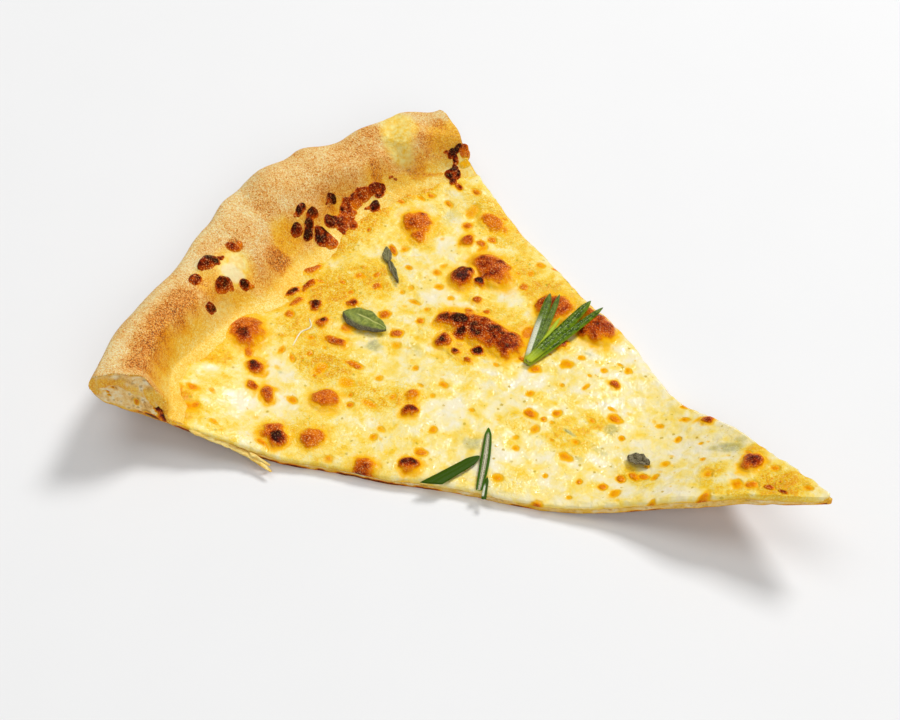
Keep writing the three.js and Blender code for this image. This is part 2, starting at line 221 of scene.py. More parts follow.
def ellipse(s, y, at_s, at_y, half_a, half_b, turn):
    """A place in an ellipse's own axes, each of which is 1 at its edge. The first is turned from
    +s towards +y by so many degrees."""
    c, n = math.cos(math.radians(turn)), math.sin(math.radians(turn))
    u, w = s - at_s, y - at_y
    return (u * c + w * n) / half_a, (w * c - u * n) / half_b


def marks(s, y, rows, seed, ragged=0.3, soft=0.55, fade=1.3):
    """How strongly a place is marked by a list of spots, from 0 to 1. Each spot is an ellipse:
    centre s and y, half sizes, turn of the first from +s towards +y in degrees, strength. Its
    distance d is 1 at the ellipse and is made uneven by mottle, and it fades from full at
    d = soft to nothing at d = fade. Where spots overlap the strongest counts."""
    total = np.zeros(np.broadcast(s, y).shape)
    uneven = ragged * (mottle(s, y, 2.6, seed) + 0.6 * mottle(s, y, 1.1, seed + 5))
    for *spot, strength in rows:
        a, b = ellipse(s, y, *spot)
        d = np.sqrt(a * a + b * b) + uneven * min(1, 2.2 / math.sqrt(spot[2] * spot[3]))
        total = np.maximum(total, strength * (1 - ease(d, soft, fade)))
    return total


def grid(rows, cols, start=0):
    """Quads of a grid of rows x cols points that are numbered row by row from start."""
    at = start + np.arange(rows * cols).reshape(rows, cols)
    return np.stack([at[:-1, :-1], at[:-1, 1:], at[1:, 1:], at[1:, :-1]], -1).reshape(-1, 4)


def join(sheets, faces_of=grid):
    """Grids of points, each with its values by name, as the points, faces and values of one
    mesh. A value that a grid doesn't give is 0 there."""
    values = {name: [] for _, given in sheets for name in given}
    faces, start = [], 0
    for points, given in sheets:
        rows, cols = points.shape[:2]
        faces.append(faces_of(rows, cols, start))
        start += rows * cols
        for name, parts in values.items():
            parts.append(np.broadcast_to(given.get(name, 0.0), (rows, cols)).ravel())
    points = np.concatenate([points.reshape(-1, 3) for points, _ in sheets])
    return points, faces, {name: np.concatenate(parts) for name, parts in values.items()}


def build(name, points, faces, values, material, slot, nodes=(), weld=1e-7):
    """One piece from points (s, y, z) in mm and lists of faces of any size. Doubles are merged,
    faces turned outwards, and values become attributes of the points."""
    place = np.stack([ORIGIN_S - points[:, 0], points[:, 1] - ORIGIN_Y, points[:, 2]], 1) * MM
    sizes = np.concatenate([np.full(len(one), one.shape[1]) for one in faces])
    mesh = bpy.data.meshes.new(name)
    mesh.vertices.add(len(place))
    mesh.vertices.foreach_set("co", place.astype(np.float32).ravel())
    mesh.loops.add(int(sizes.sum()))
    mesh.loops.foreach_set("vertex_index", np.concatenate([one.ravel() for one in faces]))
    mesh.polygons.add(len(sizes))
    mesh.polygons.foreach_set("loop_start", np.concatenate([[0], np.cumsum(sizes)[:-1]]))
    mesh.update(calc_edges=True)
    for key, value in values.items():
        layer = mesh.attributes.new(key, "FLOAT", "POINT")
        layer.data.foreach_set("value", np.asarray(value, np.float32))
    work = bmesh.new()
    work.from_mesh(mesh)
    bmesh.ops.remove_doubles(work, verts=work.verts, dist=weld)
    bmesh.ops.dissolve_degenerate(work, edges=work.edges, dist=1e-8)
    bmesh.ops.recalc_face_normals(work, faces=work.faces)
    work.to_mesh(mesh)
    work.free()
    mesh.shade_smooth()
    mesh.materials.append(material)
    piece = bpy.data.objects.new(name, mesh)
    bpy.context.scene.collection.objects.link(piece)
    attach(piece, "root")
    if nodes:
        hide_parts(*nodes)


# How bright the scene's light makes a white surface that lies flat.
LIGHT_STRENGTH = 1.03


def paint(red, green, blue):
    """Linear surface colour that shows as this sRGB colour, 0 to 255, under the scene's light."""
    share = np.array([red, green, blue]) / 255
    linear = np.where(share > 0.04045, ((share + 0.055) / 1.055) ** 2.4, share / 12.92)
    return (*np.clip(linear / LIGHT_STRENGTH, 0, 0.95), 1.0)


def set_inputs(tree, target, inputs):
    """Gives a node its inputs, as numbers, colours or sockets to be linked."""
    for key, value in inputs.items():
        if isinstance(value, bpy.types.NodeSocket):
            tree.links.new(value, target.inputs[key])
        else:
            target.inputs[key].default_value = value


def node(tree, kind, inputs, **settings):
    """A new node with its settings and inputs."""
    new = tree.nodes.new(kind)
    for key, value in settings.items():
        setattr(new, key, value)
    set_inputs(tree, new, inputs)
    return new


def mix(tree, share, a, b):
    """Colour between a and b, by share."""
    return node(tree, "ShaderNodeMix", {0: share, 6: a, 7: b}, data_type="RGBA").outputs[2]


def maths(tree, how, a, b=0.0, clamp=False):
    """Result of one Math node."""
    return node(tree, "ShaderNodeMath", {0: a, 1: b}, operation=how, use_clamp=clamp).outputs[0]


def times(tree, product, *others):
    """Product of two or more."""
    for one in others:
        product = maths(tree, "MULTIPLY", product, one)
    return product


def plus(tree, total, *others, clamp=False):
    """Sum of two or more, held within 0 and 1 where clamp says so."""
    for one in others[:-1]:
        total = maths(tree, "ADD", total, one)
    return maths(tree, "ADD", total, others[-1], clamp)


def sway(tree, noise, amount):
    """A noise about 0 instead of 0.5, and so many times as strong."""
    return times(tree, maths(tree, "SUBTRACT", noise, 0.5), amount)


def spread(tree, value, low, high, to_low=0.0, to_high=1.0):
    """value from low..high taken to to_low..to_high, held at the ends."""
    inputs = {0: value, 1: low, 2: high, 3: to_low, 4: to_high}
    return node(tree, "ShaderNodeMapRange", inputs).outputs[0]


def tones(tree, value, low, high, first, second):
    """From the first to the second sRGB colour, as value goes from low to high."""
    return mix(tree, spread(tree, value, low, high), paint(*first), paint(*second))


def coats(tree, colour, layers):
    """A colour with others mixed over it in turn, from (share, sRGB colour) pairs."""
    for share, coat in layers:
        colour = mix(tree, share, colour, paint(*coat))
    return colour


def grain(tree, place, size, detail=2.0, roughness=0.5, twist=0.0):
    """Noise of one size in mm, about 0.3 to 0.7."""
    return node(tree, "ShaderNodeTexNoise", {
        "Vector": place, "Scale": 1 / (size * MM), "Detail": detail, "Roughness": roughness,
        "Distortion": twist,
    }).outputs[0]


def cells(tree, place, size):
    """Cells of one size in mm: the distance from their centres, and random numbers of each."""
    new = node(tree, "ShaderNodeTexVoronoi", {"Vector": place, "Scale": 1 / (size * MM)})
    chances = node(tree, "ShaderNodeSeparateColor", {0: new.outputs["Color"]}).outputs
    return new.outputs["Distance"], chances


def bump(tree, strength, distance, height):
    """Normals of a surface raised by height, with distance in mm."""
    inputs = {"Strength": strength, "Distance": distance * MM, "Height": height}
    return node(tree, "ShaderNodeBump", inputs).outputs[0]


def value_of(tree, name):
    """The number that a piece's points carry under this name."""
    return node(tree, "ShaderNodeAttribute", {}, attribute_name=name).outputs["Fac"]


def ramp(tree, value, stops):
    """Colour by value, from (position, sRGB colour) stops."""
    new = node(tree, "ShaderNodeValToRGB", {0: value})
    points = new.color_ramp.elements
    while len(points) < len(stops):
        points.new(0.5)
    for point, (position, colour) in zip(points, stops):
        point.position = position
        point.color = paint(*colour)
    return new.outputs[0]


def new_group(name, inputs):
    """A shader node group that puts out one colour: returns its tree, its inputs as sockets to
    read, and the socket for its result. An input with four numbers is a colour, with three a
    place."""
    kinds = {1: "NodeSocketFloat", 3: "NodeSocketVector", 4: "NodeSocketColor"}
    tree = bpy.data.node_groups.new(name, "ShaderNodeTree")
    for label, value in inputs.items():
        socket = tree.interface.new_socket(
            label, in_out="INPUT", socket_type=kinds[np.size(value)]
        )
        socket.default_value = value
    tree.interface.new_socket("Color", in_out="OUTPUT", socket_type="NodeSocketColor")
    given = tree.nodes.new("NodeGroupInput").outputs
    return tree, given, tree.nodes.new("NodeGroupOutput").inputs[0]


def browning_group():
    """Oven browning: a pale colour goes through amber and brown to black as Browning rises
    from 0 to 1. A fine grain makes the change uneven."""
    tree, given, out = new_group("oven_browning", {
        "Pale": (0.8, 0.7, 0.4, 1), "Browning": 0.0, "Grain": 0.5, "Unevenness": 0.5,
    })
    browned = given["Browning"]
    shift = times(
        tree, sway(tree, given["Grain"], given["Unevenness"]),
        spread(tree, browned, 0.34, 0.6, 0.12, 1.0), spread(tree, browned, 0.7, 0.95, 1.0, 0.5),
    )
    level = plus(tree, browned, shift, clamp=True)
    baked = ramp(tree, level, (
        (0.0, (250, 216, 96)),
        (0.14, (248, 196, 30)),
        (0.34, (242, 170, 0)),
        (0.46, (236, 144, 0)),
        (0.58, (224, 118, 4)),
        (0.7, (204, 88, 4)),
        (0.82, (152, 46, 0)),
        (0.92, (96, 20, 0)),
        (1.0, (46, 12, 4)),
    ))
    tree.links.new(mix(tree, spread(tree, level, 0.01, 0.2), given["Pale"], baked), out)
    return tree


def glint_group():
    """Painted glints: fine bright dots painted into the colour as highlights, where grains and
    drops of fat catch the light. Amount says how strongly they show."""
    tree, given, out = new_group("painted_glints", {
        "Color": (0.8, 0.7, 0.4, 1), "Bright": (1, 0.9, 0.7, 1), "Place": (0, 0, 0), "Amount": 0.5,
    })
    dots = spread(tree, grain(tree, given["Place"], 0.5, 1, 0.5), 0.57, 0.66)
    share = times(tree, dots, given["Amount"])
    tree.links.new(mix(tree, share, given["Color"], given["Bright"]), out)
    return tree


def use(tree, group, inputs):
    """The colour that a group puts out in this tree."""
    return node(tree, "ShaderNodeGroup", inputs, node_tree=group).outputs[0]


def new_material(name):
    """An empty material: returns it with its tree, Principled shader and Object coordinates."""
    material = bpy.data.materials.new(name)
    material.use_nodes = True
    tree = material.node_tree
    place = node(tree, "ShaderNodeTexCoord", {}).outputs["Object"]
    return material, tree, tree.nodes["Principled BSDF"], place


oven_browning = browning_group()
painted_glints = glint_group()


def dough_material():
    """Baked dough. The meal dusted on it shows as fine pale and dark grains, with painted glints
    on them, the cut faces as pale crumb with painted shade in its pores, and the underside as
    toast with flour on it."""
    material, tree, shader, place = new_material("dough_baked")
    fine = grain(tree, place, 0.4, 2, 0.6)
    coarse = grain(tree, place, 2.4, 3)
    patch = grain(tree, place, 7, 3)
    meal = value_of(tree, "meal")
    chance = cells(tree, place, 0.42)[1][0]
    speck = times(tree, plus(tree, sway(tree, chance, 0.4), sway(tree, fine, 1.6)),
                  spread(tree, meal, 0, 1, 0.5, 1.1))
    skin = plus(tree, value_of(tree, "toast"), sway(tree, patch, 0.16), sway(tree, coarse, 0.2),
                speck, clamp=True)
    dusty = ramp(tree, skin, (
        (0.0, (255, 236, 182)),
        (0.2, (250, 212, 142)),
        (0.4, (241, 187, 106)),
        (0.58, (236, 156, 58)),
        (0.74, (220, 124, 32)),
        (0.88, (190, 98, 24)),
        (1.0, (140, 70, 22)),
    ))
    smooth = ramp(tree, skin, (
        (0.0, (254, 236, 158)),
        (0.2, (250, 206, 76)),
        (0.38, (246, 182, 34)),
        (0.56, (234, 150, 14)),
        (0.74, (200, 104, 14)),
        (0.88, (126, 50, 12)),
        (1.0, (56, 24, 12)),
    ))
    cheesy = value_of(tree, "cheesy")
    molten = tones(tree, grain(tree, place, 1.6, 3), 0.36, 0.64, (250, 202, 62), (255, 232, 140))
    molten = coats(tree, molten, [(spread(tree, cheesy, 0.66, 1.2), (255, 244, 206))])
    outside = mix(tree, spread(tree, meal, 0.1, 0.8), smooth, dusty)
    # Painted highlights: glint dots painted into the colour on the meal grains and rim cheese.
    outside = use(tree, painted_glints, {
        "Color": mix(tree, spread(tree, cheesy, 0, 0.6), outside, molten),
        "Bright": paint(255, 228, 138), "Place": place,
        "Amount": spread(tree, meal, 0, 0.4, 0.3, 0.6),
    })
    inside = ramp(tree, plus(tree, coarse, times(tree, fine, 0.3)), (
        (0.44, (196, 136, 62)),
        (0.56, (240, 190, 110)),
        (0.68, (250, 216, 152)),
        (0.82, (255, 240, 204)),
    ))
    # Painted shade: the crumb's pores are painted dark brown on the flat cut face.
    pore_shade = plus(tree, cells(tree, place, 2.0)[0], times(tree, fine, 0.4))
    inside = coats(tree, inside, [(spread(tree, pore_shade, 0.36, 0.5, 0.5, 0), (150, 98, 40))])
    baked = use(tree, oven_browning, {
        "Pale": inside, "Browning": value_of(tree, "char"), "Grain": fine, "Unevenness": 0.9,
    })
    faces = mix(tree, value_of(tree, "crumb"), outside, baked)
    stove = ramp(tree, plus(tree, times(tree, patch, 0.6), times(tree, coarse, 0.45)), (
        (0.36, (244, 222, 180)),
        (0.46, (226, 178, 112)),
        (0.54, (204, 140, 72)),
        (0.62, (164, 96, 44)),
        (0.7, (96, 52, 28)),
    ))
    height = plus(
        tree, times(tree, plus(tree, fine, chance), spread(tree, meal, 0, 1, 0.3, 0.8)),
        times(tree, coarse, 0.8),
    )
    set_inputs(tree, shader, {
        "Base Color": mix(tree, value_of(tree, "below"), faces, stove),
        "Roughness": spread(tree, meal, 0, 1, 0.38, 0.8),
        "Specular IOR Level": 0.2,
        "Normal": bump(tree, 0.9, 0.6, height),
    })
    return material


dough = dough_material()

# Browned places on the rim, as in marks().
RIM_TOAST = (
    (212.4, -38, 7.6, 5.4, 80, 0.68), (210.4, -46.6, 8.4, 5.2, 75, 0.74), (208, -55, 8.4, 5.2, 70, 0.72),
    (204.8, -63.4, 8.4, 5.2, 68, 0.72), (200.8, -72, 7.4, 5.2, 66, 0.72), (211, 14, 5, 10, 0, 0.42),
    (189.3, 69.1, 4.6, 0.6, 137, 0.6), (191, 80, 8, 5, 120, 0.4), (214.6, -34, 5, 4, 0, 0.5),
    (220.5, -34, 4, 6, 0, 0.36), (220.4, 14, 7, 6, 0, 0.46), (220.8, 0.8, 7, 6.5, 0, 0.42),
    (221.5, -12, 6, 7, 0, 0.36), (224, 22, 7, 16, 0, 0.34), (208.4, 4.2, 4.5, 5, 0, 0.74),
    (217.4, -5.6, 2.2, 2.2, 0, 0.8), (215, 40, 7, 9, 0, 0.4), (213, 53, 11, 9, 100, 0.46),
    (216, 28, 8, 9, 95, 0.38), (212.5, 64.5, 6.5, 4.2, 0, 0.6), (208, 58, 5, 6, 20, 0.5),
    (204, 62, 4, 2.6, 0, 0.6), (204.5, 55.4, 5, 3, 30, 0.62), (209.4, 34.6, 4.4, 3.8, 0, 0.6),
    (195.2, 73.6, 4, 4.6, 0, 0.6), (194, 67.5, 3.2, 5, 0, 0.5), (198, 79, 5, 5, 0, 0.4),
    (195, 82, 3.4, 2.6, 0, 0.6), (203, 83.5, 7, 3.4, -30, 0.36), (196.2, 64.2, 1.1, 0.7, 0, 0.66),
    (207, 44, 3.4, 7, 0, 0.5), (203, 3, 3, 8, 0, 0.3), (216, -62, 5, 10, 0, 0.3),
    (224, 40, 5, 16, 0, 0.34),
)
# Smooth yellow places of the rim that no meal lies on.
RIM_SMOOTH = (
    (205, 72, 8, 7, 0, 1.0), (210, 74, 6, 4.4, 0, 1.0), (201, 66, 6, 4, 0, 0.8),
    (191, 80, 9, 6, 120, 0.9), (213, -13, 7, 9, 0, 1.0), (212, -24, 7, 7, 0, 0.8),
    (210, 13, 6, 8, 0, 0.9), (208.5, 22, 6, 7, 0, 0.8), (205, 9, 5, 9, 0, 0.7),
)
# Places of the rim with melted cheese on them.
RIM_CHEESE = (
    (211.9, -14.6, 5, 3.4, 106, 1.0), (213.3, -10.2, 3.4, 3.4, 0, 0.8), (206.8, -25, 1.2, 5, 0, 0.4),
    (182, 79.5, 3, 2.6, 0, 0.6), (178, 79, 6, 2.4, 0, 0.75), (174, 77, 5, 2, 0, 0.75),
    (203, 68, 7.6, 5, 30, 0.66), (208, 76, 4, 3, 0, 0.4),
)
# Burnt places low on the right cut, near its outer end, as in marks() but with the distance
# from the tip and the height over the underside. Then holes in its crumb, with their depth,
# and where golden skin hangs over it.
CUT_CHAR = (
    (210.5, 0.4, 2.4, 0.7, 0, 0.8), (206.8, 0.9, 2.4, 1.1, 0, 0.97), (204, 3, 1.5, 1.9, 0, 1.0),
    (202.2, 1.6, 1.4, 1.2, 0, 0.9), (199.6, 0.6, 2, 0.7, 0, 0.8), (211.5, 4.4, 1.0, 1.2, 0, 0.56),
    (183, 0.5, 5, 0.7, 0, 0.95), (188, 0.5, 2, 0.7, 0, 0.9), (194, 0.5, 2, 0.5, 0, 0.8),
)
CUT_HOLES = (
    (212.4, 12.2, 5.2, 2.0, 0, 2.2), (206, 5.6, 1.2, 2.0, 0, 2.6), (203.9, 2.6, 1.4, 1.4, 0, 1.8),
    (220, 6.3, 0.8, 0.7, 0, 1.5), (219.4, 4.6, 0.5, 0.5, 0, 1.2), (218.5, 8.1, 1.3, 0.8, 0, 1.0),
    (213, 4.2, 1.6, 0.8, 0, 0.5), (216, 5, 1.6, 0.8, 0, 0.5),
)
CUT_SKIN = (
    (224.4, 8, 3.6, 7, 0, 1.0), (221, 10.6, 2.6, 3, 0, 1.0), (217.6, 10.4, 2.8, 1.5, -4, 1.0),
    (214, 9.2, 2.8, 1.2, -8, 0.9), (210.8, 8, 2.4, 1.2, 0, 0.8), (208, 9.4, 2.4, 2.8, 0, 1.0),
    (205, 11, 3, 2.8, 0, 1.0), (201.6, 10.4, 3.6, 4, 0, 1.0), (204, 13, 4, 3, 0, 1.0),
)
# Where the rim's skin has sunk in at the right cut: distance from the tip, half length, depth.
CUT_SAGS = ((203, 11, 4.6), (214, 8, 2.0))
# How finely the crust is divided: across, along its base, up and down the rim, and up a cut.
CRUST_COLUMNS = 200
CRUST_BASE_ROWS = 140
RIM_INNER_ROWS = 26
RIM_OUTER_ROWS = 40
CUT_LAYERS = 28


def crust_rows(v):
    """Distances from the tip of the grid's rows on each ray: a power of 0.8 up to the cheese's
    end, even steps to the crest, and then the sine of even turns."""
    foot, crest = rim_value(v, RIM_FOOT), rim_value(v, RIM_OUTER) - RIM_SETBACK
    base = foot * ((np.arange(CRUST_BASE_ROWS) / CRUST_BASE_ROWS) ** 0.8)[:, None]
    inner = blend(foot, crest, (np.arange(RIM_INNER_ROWS) / RIM_INNER_ROWS)[:, None])
    turn = np.linspace(0, math.pi / 2, RIM_OUTER_ROWS + 1)[:, None]
    return np.vstack([base, inner, crest + RIM_SETBACK * np.sin(turn)])


def cut_wall(side, rho, s, y, top_y, lift, low, top):
    """One cut face, as layers between its lower and its upper edge. It is pushed in and out by
    rough, less towards both edges, and burnt in stretches at its foot. The right one has the
    holes, painted dark low down as painted shade, the burnt places and the hanging skin."""
    layer = np.linspace(0, 1, CUT_LAYERS + 1)[None, :]
    r = rho + 0 * layer
    z = blend(low, top, layer)
    tall = ease(z.max(1, keepdims=True), 3, 8)
    push = 0.3 * rough(r, z * 1.6, 1.3, 61 + side) + 0.5 * tall * rough(r, z, 3.6, 65 + side)
    behind = ease(r, 100, 140)
    burnt = ease(rough(r, 0 * z, 5, 73 + side) + 0.7 * behind - 0.2, -0.35, 0.35)
    deep = 0.4 + (0.4 + 0.6 * behind) * burnt + 0.3 * mottle(r, 0 * z, 1.4, 74)
    char = (0.36 + 0.56 * burnt) * (1 - ease(z, 0.3 * deep, 1.1 * deep))
    char = np.maximum(char, 0.1 + 0.14 * rough(r, z * 2, 3.2, 71)) * (1 - 0.75 * tall)
    skin = 0 * r
    if side < 0:
        level = RIM_HEIGHT[0] * layer + 0 * r
        skin = marks(r, level, CUT_SKIN, 79, 0.5, 0.85, 1.1) * ease(r, 197.5, 199.5)
        hole = marks(r, level, CUT_HOLES, 75, 0.4, 0.2) * (1 - skin)
        push = push - hole + 0.5 * skin
        char = np.maximum(char, marks(r, level * tall + z * (1 - tall), CUT_CHAR, 77, 0.3, 0.5))
        # Painted shade: the deeper holes low on the cut are painted dark with the char colour.
        char = np.maximum(char, 0.94 * ease(hole, 0.5, 1.0) * ease(-level, -9, -8))
    at_y = blend(y, top_y, layer**1.3) + side * push * np.sin(math.pi * layer) ** 0.5
    return np.stack([s + 0 * layer, at_y, lift + z], -1), {
        "crumb": np.clip(np.sin(math.pi * layer) * 4, 0, 1) * (1 - skin),
        "char": np.clip(char, 0, 1),
        "toast": 0.4 + 0.1 * mottle(r, z, 2, 83),
        "meal": 0.15,
    }


def crust_piece():
    """The dough: a top and an underside on one grid, joined at the belly, with the two cut faces
    and the blunt tip as walls between them. At the rim the underside curves up to the belly as
    a quarter of an ellipse."""
    v = np.linspace(-1, 1, CRUST_COLUMNS)[None, :]
    rho = crust_rows(v)
    v = np.broadcast_to(v, rho.shape)
    s, y = plan_point(rho, v)
    outer, foot = rim_value(v, RIM_OUTER), rim_value(v, RIM_FOOT)
    height = dough_height(rho, v)
    under = np.clip((rho - outer + RIM_UNDERCUT) / RIM_UNDERCUT, 0, 1)
    low = RIM_BELLY * rim_value(v, RIM_HEIGHT) * (1 - np.sqrt(1 - under * under))
    top = height + rim_relief(s, y, height)
    top[-1] = low[-1]
    lift = dish_lift(s, y)
    sag = sum(deep * (1 - ease(np.abs(rho - at), 0, reach)) for at, reach, deep in CUT_SAGS)
    sag = sag * (1 + 0.3 * rough(rho, 0 * rho, 3, 25)) * ease(rho, 190, 199)
    top_y = y + sag * ease(-v, 0.9, 1) * ease(top - low, 2, 6)
    smooth = 1 - ease(rho - foot + 3 * rough(s, y, 5, 33), 1, 11)
    smooth = np.maximum(marks(s, y, RIM_SMOOTH, 31), smooth)
    toast = marks(s, y, RIM_TOAST, 41, 0.4, 0.4, 1.6) + 0.1 * rough(s, y, 3.4, 47)
    band = ease(rho - foot, 1, 6) * ease(foot + 16 - rho, 0, 8)
    sheets = [
        (np.stack([s, top_y, lift + top], -1), {
            "toast": np.maximum(toast, 0.2 + 0.14 * rough(s, y, 8, 44) + 0.24 * band),
            "meal": ease(rho - foot, -2.5, 1.5) * (1 - smooth),
            "cheesy": marks(s, y, RIM_CHEESE, 51),
        }),
        (np.stack([s, y, lift + low], -1), {
            "toast": 0.36 + 0.14 * rough(s, y, 6, 45),
            "meal": 1.0,
            "below": 1 - ease(rho, outer - 1.5, outer),
        }),
    ]
    for column, side in ((0, -1), (-1, 1)):
        edges = [one[:, column, None] for one in (rho, s, y, top_y, lift, low, top)]
        sheets.append(cut_wall(side, *edges))
    layer = np.linspace(0, 1, CUT_LAYERS + 1)[None, :]
    tip_s, tip_y, tip_lift, tip_low, tip_top = (one[0][:, None] for one in (s, y, lift, low, top))
    tip_z = tip_lift + blend(tip_low, tip_top, layer)
    tip = np.stack([tip_s + 0 * layer, tip_y + 0 * layer, tip_z], -1)
    sheets.append((tip, {"crumb": 1.0, "char": 0.35}))
    build("crust_dough", *join(sheets), dough, "baked_dough", ["crust"], weld=2e-6)


crust_piece()

# ---- Cheese ---------------------------------------------------------------------------
# A thin layer of melted white cheese with oil in it, baked until its bubbles browned. It runs
# to the cuts, rounds off there, and thins out onto the foot of the rim.

# The layer's thickness, and how far its underside lies below the dough's surface.
CHEESE_THICKNESS = 1.3
CHEESE_SINK = 0.6
# Large bubbles: centre, half sizes, turn, browning from 0 to 1, and height in mm.
BUBBLES = (
    (197.3, -26, 8.2, 6.2, 30, 0.7, 3.2), (184.4, -37, 3.6, 3, 20, 0.86, 1.4),
    (179.9, -44.6, 3, 2, 50, 0.6, 0.7), (173.8, -43.8, 4.4, 2.6, 40, 0.66, 1.0),
    (156.8, -35.7, 5.2, 4.8, 0, 0.63, 1.9), (162, -56, 4.2, 4.4, 0, 0.66, 1.8),
    (158.8, -57.6, 3.2, 3.6, 0, 0.86, 2.0), (150.3, -51.2, 4.8, 4.4, 0, 0.64, 1.6),
    (130, -51.5, 4.2, 4.2, 0, 0.62, 1.2), (118.8, -42.6, 3.8, 3.2, 0, 0.74, 1.2),
    (131.6, -24.3, 3, 2.8, 0, 0.74, 1.7), (135.2, -18.6, 2.4, 3.2, 0, 0.48, 1.2),
    (197.3, -1.6, 2.2, 3.2, 10, 0.84, 1.7), (194.4, 3.6, 1.5, 3.6, 0, 0.68, 1.3),
    (192.8, -4.6, 2.2, 3.2, 0, 0.56, 0.9), (198.8, 11.6, 3.8, 3.2, 0, 0.58, 1.0),
    (185.8, -2.9, 2.8, 2.6, 0, 0.84, 1.4), (179.2, -8, 2.4, 2.7, 0, 0.72, 0.9),
    (170.4, -13.2, 4.8, 2.4, 0, 0.66, 1.0), (176.2, 4.4, 2.2, 2.6, 0, 0.72, 0.8),
    (181.2, 48.8, 5.8, 5.4, 20, 0.72, 2.0), (177.2, 44.6, 3.6, 4, 0, 0.6, 1.1),
    (178.4, 70.4, 2.2, 1, 20, 0.7, 0.6), (162.1, 51.8, 2.5, 3.7, 0, 0.68, 1.5),
    (159.6, 64, 6.4, 3.4, 8, 0.58, 1.2), (146.4, 44, 9, 6.2, 14, 0.74, 3.0),
    (152.8, 35.4, 4.4, 5.4, 0, 0.86, 2.8), (147.3, 36.9, 2.4, 1.8, 0, 0.86, 1.2),
    (142.7, 29.1, 2.5, 2.1, 0, 0.66, 0.8), (132, 17.9, 13, 6.2, 3, 0.82, 2.5),
    (141.4, 16.6, 5.2, 4.4, 0, 0.8, 2.2), (122.5, 17, 6, 6, 0, 0.8, 2.1),
    (121, 13.4, 3.4, 3, 0, 0.68, 1.4), (146.8, 15.6, 2.7, 4, 10, 0.8, 1.4),
    (140.9, 7.4, 3.2, 3.6, 0, 0.8, 1.6), (135, 5.2, 2.5, 2.1, 0, 0.8, 1.0),
    (129.2, 4.3, 2.3, 2.1, 0, 0.72, 0.8), (119, 40.5, 6.4, 6.4, 0, 0.77, 2.2),
    (107.5, 44.6, 4.4, 2.6, 20, 0.58, 1.4), (101.7, 39.9, 6.9, 5.8, 40, 0.74, 3.2),
    (107.6, 27.5, 2.5, 2.7, 0, 0.72, 1.2), (27.6, 5, 3.4, 4, 0, 0.72, 1.7),
    (50.1, 20.4, 2.8, 2, -15, 0.72, 0.8), (84.5, 22, 2.3, 1.8, 0, 0.6, 0.6),
)
